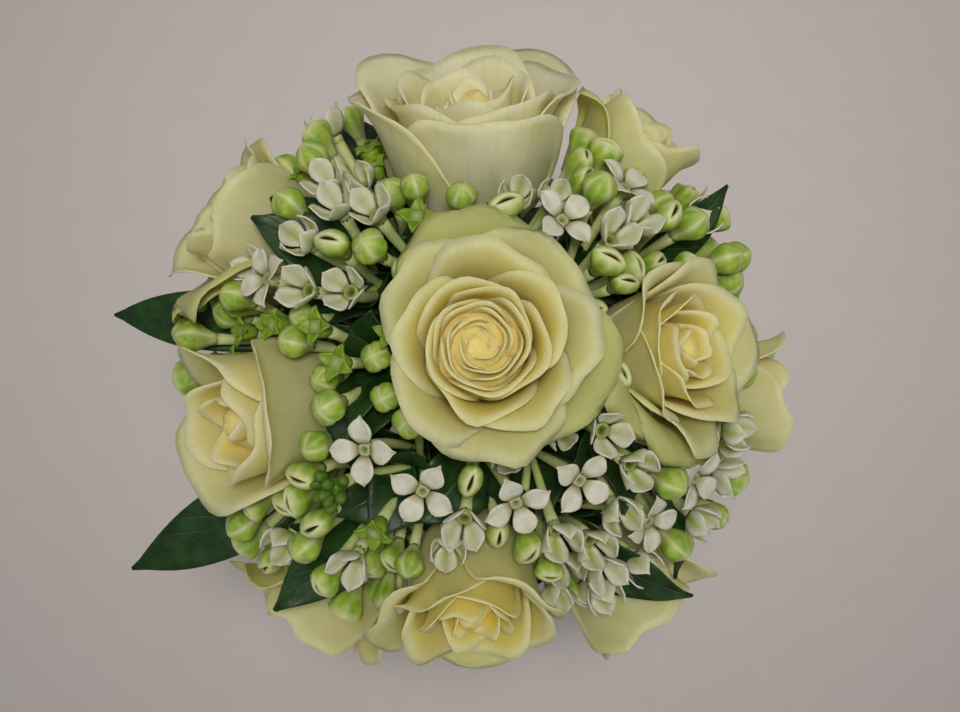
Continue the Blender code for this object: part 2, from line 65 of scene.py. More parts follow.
# azimuth, tilt, reach, size, openness, turn, then how many petals the heart, the middle and the outside have
roses = {
    "rose_centre": (52, 5, 0.115, 1.00, 0.90, 20, (12, 11, 10)),
    "rose_back": (90, 59, 0.112, 1.20, 0.72, 200, (6, 4, 8)),
    "rose_right": (5, 47, 0.108, 0.94, 0.75, 80, (7, 5, 8)),
    "rose_left": (193, 53, 0.112, 1.12, 0.34, 10, (5, 3, 4)),
    "rose_front": (271, 56, 0.111, 1.00, 0.58, 140, (6, 4, 7)),
    "rose_back_left": (148, 75, 0.112, 1.00, 0.50, 60, (6, 4, 5)),
    "rose_back_right": (53, 75, 0.111, 0.86, 0.25, 300, (5, 3, 4)),
    "rose_far_right": (355, 90, 0.114, 0.86, 0.35, 30, (6, 3, 4)),
    "rose_front_left": (240, 86, 0.114, 0.94, 0.40, 250, (6, 4, 4)),
    "rose_front_right": (306, 84, 0.114, 0.90, 0.45, 100, (6, 4, 4)),
}
# azimuth, tilt and flowers of each spray: b bud, h half open, o open
sprays = {
    "bouvardia_01": (121, 54, "bbbhb"), "bouvardia_02": (139, 38, "hhboh"), "bouvardia_03": (114, 30, "bbhb"),
    "bouvardia_04": (70, 36, "ohbb"), "bouvardia_05": (40, 36, "hbobb"), "bouvardia_06": (33, 69, "bbhbh"),
    "bouvardia_07": (171, 71, "bbbh"), "bouvardia_08": (215, 70, "bbbb"), "bouvardia_09": (236, 54, "bbhbb"),
    "bouvardia_10": (178, 24, "bb"), "bouvardia_11": (242, 32, "bbhb"), "bouvardia_12": (277, 24, "ooho"),
    "bouvardia_13": (304, 31, "ohoh"), "bouvardia_14": (331, 41, "hbhoh"), "bouvardia_15": (334, 69, "hbhbh"),
    "bouvardia_16": (300, 58, "hohbh"),
}


# directions and curves

def direction(azimuth, tilt):
    a, t = math.radians(azimuth), math.radians(tilt)
    return np.array([math.sin(t) * math.cos(a), math.sin(t) * math.sin(a), math.cos(t)])


def unit(vector):
    return np.array(vector, float) / np.linalg.norm(vector)


def across(axis):
    side = unit(np.cross(axis, [0.3, 0.1, 1.0]))
    return side, np.cross(axis, side)


def facing(axis, turn=0.0):
    # the turn that takes +Z to the axis
    return Vector(axis).to_track_quat("Z", "Y").to_matrix().to_4x4() @ Matrix.Rotation(turn, 4, "Z")


def between(pair, share):
    return pair[0] + (pair[1] - pair[0]) * share


def hermite(start, leave, end, arrive, steps=8):
    # a curve between two points that keeps to the two headings
    t = np.linspace(0, 1, steps)[:, None]
    length = np.linalg.norm(end - start)
    return ((2 * t**3 - 3 * t**2 + 1) * start + (t**3 - 2 * t**2 + t) * leave * length
            + (3 * t**2 - 2 * t**3) * end + (t**3 - t**2) * arrive * length)


def smoothLine(points, parts=6):
    # a smooth curve through the points
    points = np.asarray(points, float)
    ends = np.concatenate([[2 * points[0] - points[1]], points, [2 * points[-1] - points[-2]]])
    t = (np.arange(parts) / parts)[:, None]
    made = []
    for a, b, c, d in zip(ends, ends[1:], ends[2:], ends[3:]):
        made.append(0.5 * (2 * b + (c - a) * t + (2 * a - 5 * b + 4 * c - d) * t**2
                           + (3 * b - a - 3 * c + d) * t**3))
    return np.concatenate(made + [points[-1:]])


roseAxes = {name: direction(rose[0], rose[1]) for name, rose in roses.items()}
sprayAxes = np.array([direction(azimuth, tilt) for azimuth, tilt, _ in sprays.values()])


# tools for making pieces

def pick(*pieces):
    # only these are selected, and the first is active
    bpy.ops.object.select_all(action="DESELECT")
    for piece in pieces:
        piece.select_set(True)
    if pieces:
        bpy.context.view_layer.objects.active = pieces[0]


def newPiece(name, add, **size):
    pick()
    add(**size)
    made = bpy.context.object
    made.name = name
    return made


def newGrid(name, columns, rows):
    grid = bpy.ops.mesh.primitive_grid_add
    return newPiece(name, grid, x_subdivisions=columns, y_subdivisions=rows, size=2)


def newBall(name, sides, rings):
    ball = bpy.ops.mesh.primitive_uv_sphere_add
    return newPiece(name, ball, segments=sides, ring_count=rings, radius=1)


def newRod(name, sides, *cuts):
    # one subdivide makes a hundred cuts at most, so a long rod is cut twice
    rod = newPiece(name, bpy.ops.mesh.primitive_cylinder_add, vertices=sides, radius=1, depth=1)
    for count in cuts:
        bpy.ops.object.mode_set(mode="EDIT")
        bpy.ops.mesh.select_mode(type="EDGE")
        bpy.ops.mesh.select_all(action="DESELECT")
        bpy.ops.object.mode_set(mode="OBJECT")
        for edge in rod.data.edges:
            low, high = (rod.data.vertices[end].co.z for end in edge.vertices)
            edge.select = abs(low - high) > 0.0001
        bpy.ops.object.mode_set(mode="EDIT")
        bpy.ops.mesh.subdivide(number_cuts=count)
        bpy.ops.object.mode_set(mode="OBJECT")
    return rod


def copied(pattern, name):
    made = pattern.copy()
    made.data = pattern.data.copy()
    made.name = name
    bpy.context.scene.collection.objects.link(made)
    return made


def drop(*patterns):
    for pattern in patterns:
        bpy.data.objects.remove(pattern)


def pointsOf(piece):
    co = np.empty(len(piece.data.vertices) * 3)
    piece.data.vertices.foreach_get("co", co)
    return co.reshape(-1, 3)


def gridPlaces(grid):
    # each point's place across (-1 to 1) and along (0 to 1)
    x, y, _ = pointsOf(grid).T
    return x, (y + 1) / 2


def ballPlaces(ball):
    # each point's angle round the axis, and which ring it is on, 0 at the bottom pole and 1 at the top
    x, y, z = pointsOf(ball).T
    return np.arctan2(y, x), np.arccos(np.clip(-z, -1, 1)) / math.pi


def rodPlaces(rod):
    # each point's angle round the axis and its place along it (0 to 1)
    x, y, z = pointsOf(rod).T
    return np.arctan2(y, x), (z - z.min()) / (z.max() - z.min())


def setPoints(piece, points):
    piece.data.vertices.foreach_set("co", np.ascontiguousarray(points, float).reshape(-1))
    piece.data.update()


def turnedOut(turn, out, side=0.0, up=0.0):
    # points from how far out, sideways and up they are on a side of the axis
    x = out * np.cos(turn) - side * np.sin(turn)
    y = out * np.sin(turn) + side * np.cos(turn)
    return np.stack(np.broadcast_arrays(x, y, up), axis=-1)


def mark(piece, **values):
    # numbers kept on each point of the piece, for its material
    count = len(piece.data.vertices)
    for name, value in values.items():
        field = piece.data.attributes.new(name, "FLOAT", "POINT")
        field.data.foreach_set("value", np.broadcast_to(np.asarray(value, float), (count,)).copy())


def moved(piece, matrix):
    piece.data.transform(matrix)
    piece.data.update()


def joined(pieces, name):
    pick(*pieces)
    if len(pieces) > 1:
        bpy.ops.object.join()
    made = bpy.context.object
    made.name = made.data.name = name
    return made


def thicken(piece, thickness):
    pick(piece)
    wall = piece.modifiers.new("wall", "SOLIDIFY")
    wall.thickness, wall.offset = thickness, 0
    bpy.ops.object.modifier_apply(modifier=wall.name)


def coat(piece, look):
    piece.data.materials.clear()
    piece.data.materials.append(look)


def settle(piece, slotName, *nodes):
    # a finished piece rides on the posy's one body and stands for its nodes
    piece.data.polygons.foreach_set("use_smooth", [True] * len(piece.data.polygons))
    piece.data.update()
    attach(piece, "root")
    if nodes:
        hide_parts(*nodes)


# tools for making materials

def linear(hexColour):
    parts = [int(hexColour[i:i + 2], 16) / 255 for i in (1, 3, 5)]
    return [p / 12.92 if p <= 0.04045 else ((p + 0.055) / 1.055) ** 2.4 for p in parts] + [1.0]


def addNode(tree, kind, inputs=None, **settings):
    # an input is a value, a hex colour, another node's socket, or a node that gives its first output
    node = tree.nodes.new("ShaderNode" + kind)
    for name, value in settings.items():
        setattr(node, name, value)
    for name, value in (inputs or {}).items():
        if isinstance(value, bpy.types.Node):
            value = value.outputs[0]
        if isinstance(value, bpy.types.NodeSocket):
            tree.links.new(value, node.inputs[name])
        else:
            node.inputs[name].default_value = linear(value) if isinstance(value, str) else value
    return node


def startLook(name, sockets, *marks):
    # the material, its nodes, its coordinates and the numbers that its pieces are marked with
    look = bpy.data.materials.new(name)
    look.use_nodes = True
    tree = look.node_tree
    for socket, value in sockets.items():
        tree.nodes["Principled BSDF"].inputs[socket].default_value = value
    places = addNode(tree, "TexCoord").outputs
    fields = [addNode(tree, "Attribute", attribute_name=kept).outputs["Fac"] for kept in marks]
    return [look, tree, places, *fields]


def finishLook(look, colour, coats, height=None, strength=0.0, depth=0.0, sunk=False):
    # a coat is a colour and its share, which may rise smoothly between two ends, up to its most; the last
    # coat is on top, and the surface follows the height
    tree = look.node_tree
    shader = tree.nodes["Principled BSDF"]
    for cover, share, *ends in coats:
        if ends:
            ranged = {0: share, **dict(zip((1, 2, 4), ends))}
            share = addNode(tree, "MapRange", ranged, interpolation_type="SMOOTHSTEP")
        mixed = addNode(tree, "Mix", {0: share, 6: colour, 7: cover}, data_type="RGBA")
        colour = mixed.outputs[2]
    tree.links.new(colour, shader.inputs["Base Color"])
    if height:
        rise = {"Strength": strength, "Distance": depth, "Height": height}
        bump = addNode(tree, "Bump", rise, invert=sunk)
        tree.links.new(bump.outputs[0], shader.inputs["Normal"])
    return look


# camera, floor and light

photoView = {
    "frame": (960, 712),          # pixels
    "axisPixel": (472, 365),      # the posy's axis
    "metresPerPixel": 0.000377,   # at the dome's centre
    "distance": 0.75,             # camera above the dome's centre
}
floorLook = {"colour": "#C9C0BC", "mottle": "#CDC5C1", "size": 14.0, "below": 0.0002}
lightSet = {
    "above": {"kind": "SPOT", "at": (0.06, 0.36, 2.6), "aim": (0.01, 0.08, 0), "watts": 250,
              "colour": "#FFFCF5",
              "own": {"shadow_soft_size": 0.36, "spot_size": math.radians(17.4), "spot_blend": 1.0}},
    "fill": {"kind": "AREA", "at": (0.3, -0.9, 1.0), "aim": (0, 0, 0.25), "watts": 1.2, "colour": "#F8FAFF",
             "own": {"size": 1.0}},
}
skySet = {"colour": "#F6F6F8", "strength": 0.28}


def makeCamera():
    width, height = photoView["frame"]
    px, py = photoView["axisPixel"]
    scale, distance = photoView["metresPerPixel"], photoView["distance"]
    camera = bpy.data.objects.new("photoCamera", bpy.data.cameras.new("photoCamera"))
    camera.location = ((width / 2 - px) * scale, (py - height / 2) * scale, posy["domeHeight"] + distance)
    camera.data.lens = camera.data.sensor_width * distance / (width * scale)
    camera.data.clip_start = 0.05
    bpy.context.scene.collection.objects.link(camera)
    bpy.context.scene.camera = camera


def makeFloor():
    floor = newPiece("floor", bpy.ops.mesh.primitive_plane_add, size=floorLook["size"],
                     location=(0, 0, -floorLook["below"]))
    # matt painted board, faintly mottled in clouds about 17 mm wide
    look, tree, places = startLook("paintedBoard", {"Roughness": 0.85})
    mottle = addNode(tree, "TexNoise", {0: places["Object"], "Scale": 60.0, "Detail": 4.0})
    coat(floor, finishLook(look, floorLook["colour"], ((floorLook["mottle"], mottle),)))


def makeLights():
    for name, made in lightSet.items():
        lamp = bpy.data.lights.new(name, made["kind"])
        lamp.energy, lamp.color = made["watts"], linear(made["colour"])[:3]
        for setting, value in made["own"].items():
            setattr(lamp, setting, value)
        holder = bpy.data.objects.new(name, lamp)
        holder.location = made["at"]
        aim = Vector(made["aim"]) - Vector(made["at"])
        holder.rotation_euler = aim.to_track_quat("-Z", "Y").to_euler()
        bpy.context.scene.collection.objects.link(holder)
    sky = bpy.data.worlds.new("sky")
    sky.use_nodes = True
    back = sky.node_tree.nodes["Background"]
    back.inputs["Color"].default_value = linear(skySet["colour"])
    back.inputs["Strength"].default_value = skySet["strength"]
    bpy.context.scene.world = sky
    bpy.context.scene.view_settings.view_transform = "Standard"


makeCamera()
makeFloor()
makeLights()
print("camera, floor and lights made")


# rose petals: their outline from the side as in the part's source, layer 0 the heart and 1 the outermost

petalMake = {
    "columns": 24, "rows": 16,
    "thick": 0.00045,
    "length": (0.046, 0.062),           # in the heart and outside, as in each pair here
    "spiral": 1.15,                     # how far one side lies outside the other, in petals a radian
    "layers": (0, 0.2, 0.54, 0.62, 1, 1.06),  # in the middle, round the heart, each side of a gap, outside
    "halfSpan": (1.9, 1.15),            # radians that half a petal wraps
    "edgeDrop": (0.36, 0.34),           # how much lower a petal is at its side edges
    "corner": (0.42, 0.34),             # how much its corners are rounded off
    "first": 3,                         # the petals in the very middle stay inside the core
    "point": (0.05, 0.16),              # how far the soft point of an outer petal stands up, and how wide
    "nick": 0.013,                      # how uneven an outer rim is
    "footLean": (32, 84),               # degrees outwards
    "wallLean": (-5, 4), "wallOpen": 16,  # and how much more of it in a fully open bloom
    "lipLean": (-8, 44), "lipOpen": 62,
    "bends": (0.46, 0.66),              # share of the length where the wall is reached, and the lip starts
    "belly": 11, "shutTo": -52,         # degrees that a shut side's wall and tips turn
    "rimFrom": (0.92, 0.84),            # share of the length where the rim starts to roll out
    "rimRoll": (46, 64),                # degrees
    "rollSides": (0.70, 1.30),          # how much of that, in the middle of the rim and at its sides
    "rollWild": 0.22, "frill": (0.28, 0.88),  # radians that the roll differs, and waves along the rim
    "foot": 0.002, "heartFoot": 0.05,   # how far out a petal starts, and how much of that in the heart
    "slowWaves": (0.024, 0.0016),       # how much neighbouring petals wave together, outwards and upwards
    "flutter": 0.0018,                  # a ruffled rim's small waves
    "turnWild": 0.06, "spanWild": 0.08, "tallWild": 0.02, "pointWild": 0.2,
    "looseOver": 0.3,                   # layers over which the outside falls open
}
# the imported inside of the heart: height and radius
heartCore = ((0.010, 0.0), (0.020, 0.0100), (0.028, 0.0116), (0.0335, 0.0100), (0.0372, 0.0072),
             (0.0402, 0.0052), (0.0425, 0.0030), (0.0433, 0.0012), (0.0434, 0.0))
# a fuller one, for a bloom whose petals are packed closely
fullCore = ((0.010, 0.0), (0.020, 0.0120), (0.027, 0.0170), (0.0315, 0.0160), (0.0342, 0.0134),
            (0.0366, 0.0102), (0.0390, 0.0070), (0.0412, 0.0040), (0.0428, 0.0014), (0.0430, 0.0))


def layerOf(place, counts):
    # petals crowd in the heart; place counts them from the middle
    heart, middle, outside = np.cumsum(counts)
    return np.interp(place, (0, heart, middle, middle + 0.6, outside, outside * 1.1), petalMake["layers"])


def profile(layer, openness, cup=1.0, tall=1.0, roll=0.0, ease=0.0, shut=0.0, steps=64):
    # radius and height along each column of a petal, from its foot to its rim
    layer, tall, roll, ease, shut = (
        np.atleast_1d(np.asarray(value, float))[:, None] for value in (layer, tall, roll, ease, shut)
    )
    along = (np.arange(steps)[None, :] + 0.5) / steps
    full = along * tall
    heart = petalMake["layers"][1]
    low = np.clip(layer, heart, 1.1)
    foot = np.radians(between(petalMake["footLean"], low**0.6))
    (wallIn, wallOut), (lipIn, lipOut) = petalMake["wallLean"], petalMake["lipLean"]
    wall = np.radians(between((wallIn, wallOut + petalMake["wallOpen"] * openness), low**1.2))
    lip = np.radians(between((lipIn, lipOut + petalMake["lipOpen"] * openness), low**cup))
    lip = wall + (lip - wall) * (1 - ease * low)
    lip = lip + (math.radians(petalMake["shutTo"]) - lip) * shut * low**0.5
    wall = wall + math.radians(petalMake["belly"]) * shut * low**0.5
    wallAt, lipAt = petalMake["bends"]
    rise = np.clip(full / wallAt, 0, 1)
    rise = rise * rise * (3 - 2 * rise)
    fall = np.clip((full - lipAt) / (1 - lipAt), 0, 1) ** 1.3
    rimFrom = between(petalMake["rimFrom"], np.clip(layer, 0, 1))
    rim = np.clip((along - rimFrom) / (1 - rimFrom), 0, 1) ** 1.6
    slope = foot + (wall - foot) * rise + (lip - wall) * fall + roll * rim
    length = between(petalMake["length"], low) * tall / steps
    r = np.concatenate([0 * low, np.cumsum(np.sin(slope) * length, axis=1)], axis=1) + petalMake["foot"]
    z = np.concatenate([0 * low, np.cumsum(np.cos(slope) * length, axis=1)], axis=1)
    heartFoot, close = petalMake["heartFoot"], np.clip(layer / heart, 0, 1)
    return r * between((heartFoot, 1), close), z * between((1 - heartFoot, 1), close)


bloomOutlines = {}  # the outermost petals, whole
for name, (_, _, _, size, openness, _, _) in roses.items():
    r, z = profile(1.0, openness, steps=24)
    bloomOutlines[name] = (r[0] * size, z[0] * size)


def bendPetal(s, t, place, openness, turn, counts, wild, shape):
    # s across and t along a flat petal; wild is this petal's own small differences
    columns, rows = petalMake["columns"], petalMake["rows"]
    layer = float(layerOf(place, counts))
    halfSpan = between(petalMake["halfSpan"], layer**0.7) * shape["wide"]
    halfSpan = halfSpan * (1 + petalMake["spanWild"] * wild[0])
    sides = np.linspace(-1, 1, columns + 1)
    angles = turn + sides * halfSpan
    ownLayer = layerOf(place + petalMake["spiral"] * halfSpan * sides, counts)
    rounded = np.clip((np.abs(sides) - 0.6) / 0.4, 0, 1) ** 2 * between(petalMake["corner"], layer)
    dropped = between(petalMake["edgeDrop"], layer) * np.abs(sides) ** 2.1
    tall = (1 + petalMake["tallWild"] * wild[1]) * (1 - dropped - rounded)
    # outer petals come to a soft point, and their rims are uneven
    point, pointWide = petalMake["point"]
    pointAt = petalMake["pointWild"] * wild[2]
    tall *= 1 + point * layer**2 * np.exp(-((sides - pointAt) / pointWide) ** 2)
    nicks = np.sin(7 * sides + 6 * wild[4]) + 0.6 * np.sin(15 * sides + 9 * wild[2])
    tall *= 1 + petalMake["nick"] * layer * nicks * (1 + shape["ruffle"])
    roll = np.radians(between(petalMake["rimRoll"], layer)) + petalMake["rollWild"] * wild[3]
    roll = roll * between(petalMake["rollSides"], sides**2)
    roll = roll + between(petalMake["frill"], shape["ruffle"]) * layer**2 * np.sin(9 * sides + 6 * wild[4])
    outside = petalMake["layers"][3]
    if layer < outside:
        roll = roll * shape["curl"]
    upward = (0.5 + 0.5 * np.cos(angles - shape["calmTo"])) ** shape["narrow"]
    upward = upward * (1 - shape["loose"] * np.clip((ownLayer - outside) / petalMake["looseOver"], 0, 1))
    ease, shut = shape["calm"] * upward, shape["shut"] * upward
    roll = roll * (1 - 0.6 * ease) * (1 - 0.5 * shape["shut"])
    r, z = profile(ownLayer, openness, shape["cup"], tall, roll, ease, shut)
    column = np.rint((s + 1) / 2 * columns).astype(int)
    row = np.rint(t * rows).astype(int)
    at = np.rint(np.linspace(0, r.shape[1] - 1, rows + 1)).astype(int)
    radius, height = r[column, at[row]], z[column, at[row]]
    angle = angles[column]
    deep = np.clip(ownLayer[column], 0, 1)
    # slow waves that neighbouring petals share, so they don't cross
    outward, upwards = petalMake["slowWaves"]
    radius = radius * (1 + shape["triangle"] * deep**2 * np.cos(3 * (angle - shape["corner"])) * t)
    radius = radius * (1 + outward * np.sin(5 * angle + 9 * deep + shape["phase"]) * t**2)
    height = height + upwards * np.sin(4 * angle + 5 * deep + shape["phase"]) * t**2
    flutter = np.sin(8 * angle + 4 * deep) + 0.4 * np.sin(14 * angle + 7 * deep)
    height = height + petalMake["flutter"] * shape["ruffle"] * deep * flutter * t**5
    points = turnedOut(angle, radius, 0, height)
    return points + turnedOut(shape["shiftTo"], shape["shift"] * (1 - deep) * t), deep


# layout of the stems and flowers, worked out as in the part's source

stemLay = {
    "spread": 0.013, "spreadTilt": 80,  # where a stem starts at the tie, in full from this tilt on
    "lag": 55,                          # degrees that the stems wind on above the tie
    "draw": 0.997, "packRounds": 600,   # how the bundle is drawn together
    "leave": 0.9, "arrive": 0.8,        # how firmly a stem keeps its heading at the tie and under its head
    "aboveTie": 0.002,
    "fine": 6, "clearRounds": 90,       # places looked at between two points, and rounds of bending apart
    "endFree": 0.4,                     # how far the points next to the ends may move
    "even": 0.06,                       # how much each round evens the bends out
}
# what a stem keeps clear of under and in each bloom: distance along the axis, radius, and 1 where both
# grow with the bloom
bloomRoom = ((-0.008, 0.012, 0), (0.014, 0.021, 1), (0.034, 0.030, 1))
flowerLay = {
    "radius": {"b": 0.0069, "h": 0.0078, "o": 0.0120},
    "start": 0.011, "gap": 0.0010,
    "rounds": 300, "homeRounds": 250,
    "apart": 0.4, "offRoses": 0.7, "home": 0.02,  # share of each fault that a round mends
    "over": 0.9,                        # how much of a flower stays off the roses
}


def pushed(places, others, reach, share):
    # how far each place gives way to the others
    apart = places[:, None] - others[None, :]
    distance = np.linalg.norm(apart, axis=2)
    distance[distance == 0] = np.inf  # a place and itself
    short = np.clip(reach - distance, 0, None)
    return share * (apart / distance[:, :, None] * short[:, :, None]).sum(axis=1)


def packAtTie(heads, radii):
    places = []
    for azimuth, tilt in heads:
        turn = math.radians(azimuth - stemLay["lag"])
        out = stemLay["spread"] * min(1.0, tilt / stemLay["spreadTilt"])
        places.append([out * math.cos(turn), out * math.sin(turn)])
    places = np.array(places)
    reach = radii[:, None] + radii[None, :] + posy["stemGap"]
    for _ in range(stemLay["packRounds"]):
        places *= stemLay["draw"]
        for _ in range(4):
            places += pushed(places, places, reach, 0.5)
    return places - places[0]


def winding(place, height):
    turn = posy["windPerMetre"] * (height - posy["tieHeight"])
    return np.array([place[0] - turn * place[1], place[1] + turn * place[0], height])


def route(place, top, axis):
    start = winding(place, posy["tieHeight"] + posy["bindingHalf"] + stemLay["aboveTie"])
    wind = np.array([-place[1] * posy["windPerMetre"], place[0] * posy["windPerMetre"], 1.0])
    return hermite(start, wind * stemLay["leave"], top, axis * stemLay["arrive"], posy["stemPoints"])


def clearRoutes(routes, radii, obstacles):
    # bends the stems apart above the binding
    routes = np.array(routes)
    count, samples = routes.shape[:2]
    parts = stemLay["fine"]
    fine = parts * (samples - 1) + 1
    weights = np.zeros((fine, samples))
    for row in range(fine):
        low = min(row // parts, samples - 2)
        share = row / parts - low
        weights[row, low], weights[row, low + 1] = 1 - share, share
    owner = np.repeat(np.arange(count), fine)
    still = np.array([centre for _, centre, _ in obstacles])
    allOwner = np.concatenate([owner, [index for index, _, _ in obstacles]])
    allRadius = np.concatenate([np.repeat(radii, fine), [radius for _, _, radius in obstacles]])
    other = owner[:, None] != allOwner[None, :]
    limit = allRadius[: len(owner), None] + allRadius[None, :] + 1.5 * posy["stemGap"]
    free = np.ones(samples)
    free[0] = free[-1] = 0
    free[1] = free[-2] = stemLay["endFree"]
    for _ in range(stemLay["clearRounds"]):
        points = np.einsum("fs,csx->cfx", weights, routes).reshape(-1, 3)
        everything = np.concatenate([points, still])
        square = (points**2).sum(axis=1)[:, None] + (everything**2).sum(axis=1)[None, :]
        distance = np.sqrt(np.clip(square - 2 * points @ everything.T, 1e-12, None))
        push = np.where(other, np.clip(limit - distance, 0, None), 0) / distance
        shift = points * push.sum(axis=1)[:, None] - push @ everything
        shift /= np.maximum((push > 0).sum(axis=1), 1)[:, None] ** 0.5
        move = np.einsum("fs,cfx->csx", weights, shift.reshape(count, fine, 3)) / 3
        routes += move * free[None, :, None]
        middle = (routes[:, :-2] + routes[:, 2:]) / 2 - routes[:, 1:-1]
        routes[:, 1:-1] += stemLay["even"] * middle * free[None, 1:-1, None]
    return routes


def roseBase(name):
    reach, size = roses[name][2:4]
    return domeCentre + roseAxes[name] * (reach - posy["bloomDepth"] * size)


def layStems():
    names = list(roses) + list(sprays)
    heads = [made[:2] for made in (roses | sprays).values()]
    radii = np.array([posy["roseStemRadius"]] * len(roses) + [posy["sprayStemRadius"]] * len(sprays))
    places = packAtTie(heads, radii)
    routes, obstacles = [], []
    for index, name in enumerate(names):
        axis = direction(*heads[index])
        if name in roses:
            base, size = roseBase(name), roses[name][3]
            top = base - axis * (posy["meetingGap"] + posy["calyxDepth"])
            for along, radius, grows in bloomRoom:
                scale = size if grows else 1
                obstacles.append((index, base + axis * along * scale, radius * scale))
        else:
            top = domeCentre + axis * posy["hubReach"]
        routes.append(route(places[index], top, axis))
    routes = clearRoutes(routes, radii, obstacles)
    lines = {name: np.concatenate([[winding(places[i], 0.0)], routes[i]]) for i, name in enumerate(names)}
    return lines, places, radii


def spreadFlowers():
    # places of the flowers' necks, off the roses and off each other, each with its nearest spray
    kinds, places, homes = [], [], []
    for index, (axis, (_, _, flowers)) in enumerate(zip(sprayAxes, sprays.values())):
        side, up = across(axis)
        for k, kind in enumerate(flowers):
            away = flowerLay["start"] * math.sqrt(k + 0.4)
            turn = spiralTurn * k + index
            place = axis * posy["neckReach"] + away * (math.cos(turn) * side + math.sin(turn) * up)
            kinds.append(kind)
            places.append(unit(place) * posy["neckReach"])
            homes.append(axis * posy["neckReach"])
    places, homes = np.array(places), np.array(homes)
    sizes = np.array([flowerLay["radius"][kind] for kind in kinds])
    reach = sizes[:, None] + sizes[None, :] + flowerLay["gap"]
    middles = np.array(list(roseAxes.values())) * posy["neckReach"]
    roseReach = np.array([r[-1] for r, _ in bloomOutlines.values()])
    roseReach = roseReach[None, :] + flowerLay["over"] * sizes[:, None]
    for step in range(flowerLay["rounds"]):
        places += pushed(places, places, reach, flowerLay["apart"])
        places += pushed(places, middles, roseReach, flowerLay["offRoses"])
        if step < flowerLay["homeRounds"]:
            places += flowerLay["home"] * (homes - places)
        places *= posy["neckReach"] / np.linalg.norm(places, axis=1)[:, None]
    return (places @ sprayAxes.T).argmax(axis=1), kinds, places


stems, tiePlaces, stemRadii = layStems()
flowerOwners, flowerKinds, flowerNecks = spreadFlowers()
print("stems and flowers laid out")


# materials

def petalLook():
    # fresh rose petal: thin, velvety and faintly see-through, butter yellow in the heart, paler rims
    look, tree, places, layer, along, green, pale = startLook("freshRosePetal", {
        "Roughness": 0.52, "Subsurface Weight": 0.55, "Subsurface Scale": 0.004,
        "Subsurface Radius": (1.0, 0.85, 0.38), "Specular IOR Level": 0.16,
    }, "petalLayer", "petalAlong", "petalGreen", "petalPale")
    # how much whiter each bloom is: partly its own colour, partly painted light, whitest on the back bloom
    # and raised on the left one to lift its shaded side
    pearl = addNode(tree, "Math", {0: pale, 1: 0.85}, operation="MULTIPLY")
    # veins about 1 mm apart run up the petal
    fan = addNode(tree, "Mapping", {"Vector": places["UV"], "Scale": (46, 2.2, 1)})
    vein = addNode(tree, "TexNoise", {0: fan, "Scale": 1.0, "Detail": 3.0})
    # greener clouds about 15 mm wide, strongest on the outer petals
    cloud = addNode(tree, "TexNoise", {0: places["Object"], "Scale": 65.0, "Detail": 3.0})
    thick = addNode(tree, "MapRange", {0: cloud, 1: 0.42, 2: 0.72, 4: 0.40}, interpolation_type="SMOOTHSTEP")
    outer = addNode(tree, "Math", {0: thick, 1: layer}, operation="MULTIPLY")
    return finishLook(look, "#F3D459", (
        ("#EAD368", layer, 0.15, 0.60), ("#D3CB84", layer, 0.55, 1.0), ("#EDE6A8", along, 0.88, 0.98, 0.85),
        ("#C3C679", along, 0.55, 0.08), ("#F5ECBE", pearl), ("#CEC984", vein, 0.40, 0.72, 0.20),
        ("#C3C371", outer), ("#BDBE6C", green),
    ), vein, 0.18, 0.0004)


def stemLook():
    # cut rose stem: waxy green skin with a few lengthwise streaks, brown in places
    look, tree, places = startLook("cutRoseStem", {"Roughness": 0.42, "Specular IOR Level": 0.4})
    # streaks about 1 mm wide and 25 mm long, and brown places about 8 mm wide
    streak = addNode(tree, "Mapping", {"Vector": places["Object"], "Scale": (900, 900, 40)})
    skin = addNode(tree, "TexNoise", {0: streak, "Scale": 1.0, "Detail": 4.0})
    bark = addNode(tree, "TexNoise", {0: places["Object"], "Scale": 130.0, "Detail": 2.0})
    coats = ("#7D9440", skin, 0.35, 0.70), ("#6B5A2C", bark, 0.55, 0.75, 0.5)
    return finishLook(look, "#4E6E22", coats, skin, 0.3, 0.0003)


def pithLook():
    # freshly cut stem: pale damp pith, its grain a little under 1 mm
    look, tree, places = startLook("cutPith", {"Roughness": 0.6})
    grain = addNode(tree, "TexNoise", {0: places["Object"], "Scale": 1200.0})
    return finishLook(look, "#B9BC86", (("#D8D8B0", grain),))


def budLook():
    # bouvardia bud and tube: soft lime green skin in shades about 4 mm wide, cream on seams and tips, and
    # painted shade, near black olive, inside slits and mouths
    look, tree, places, pale, deep, dark = startLook("bouvardiaBud", {
        "Roughness": 0.45, "Subsurface Weight": 0.3, "Subsurface Scale": 0.002,
        "Subsurface Radius": (0.8, 1.0, 0.3), "Specular IOR Level": 0.35,
    }, "pale", "deepGreen", "dark")
    skin = addNode(tree, "TexNoise", {0: places["Object"], "Scale": 260.0, "Detail": 3.0})
    # the last coat is painted shade: near black olive down in slits, mouths and dimples
    coats = ("#A9C03C", skin, 0.35, 0.70), ("#DDDFA6", pale), ("#2C5A1B", deep), ("#2B3012", dark)
    return finishLook(look, "#7DA31E", coats, skin, 0.12, 0.0003)


def whiteLook():
    # bouvardia petal: thick waxy white in shades about 3 mm wide, with an olive throat, and green down
    # the back while it is closed
    look, tree, places, throat, keel = startLook("bouvardiaPetal", {
        "Roughness": 0.5, "Subsurface Weight": 0.3, "Subsurface Scale": 0.003,
        "Subsurface Radius": (1.0, 1.0, 0.7), "Specular IOR Level": 0.3,
    }, "throat", "keel")
    wax = addNode(tree, "TexNoise", {0: places["Object"], "Scale": 340.0, "Detail": 3.0})
    coats = ("#D6D4B2", wax, 0.35, 0.75), ("#93AA35", keel), ("#8C8444", throat)
    return finishLook(look, "#E6E2CE", coats, wax, 0.1, 0.0003)


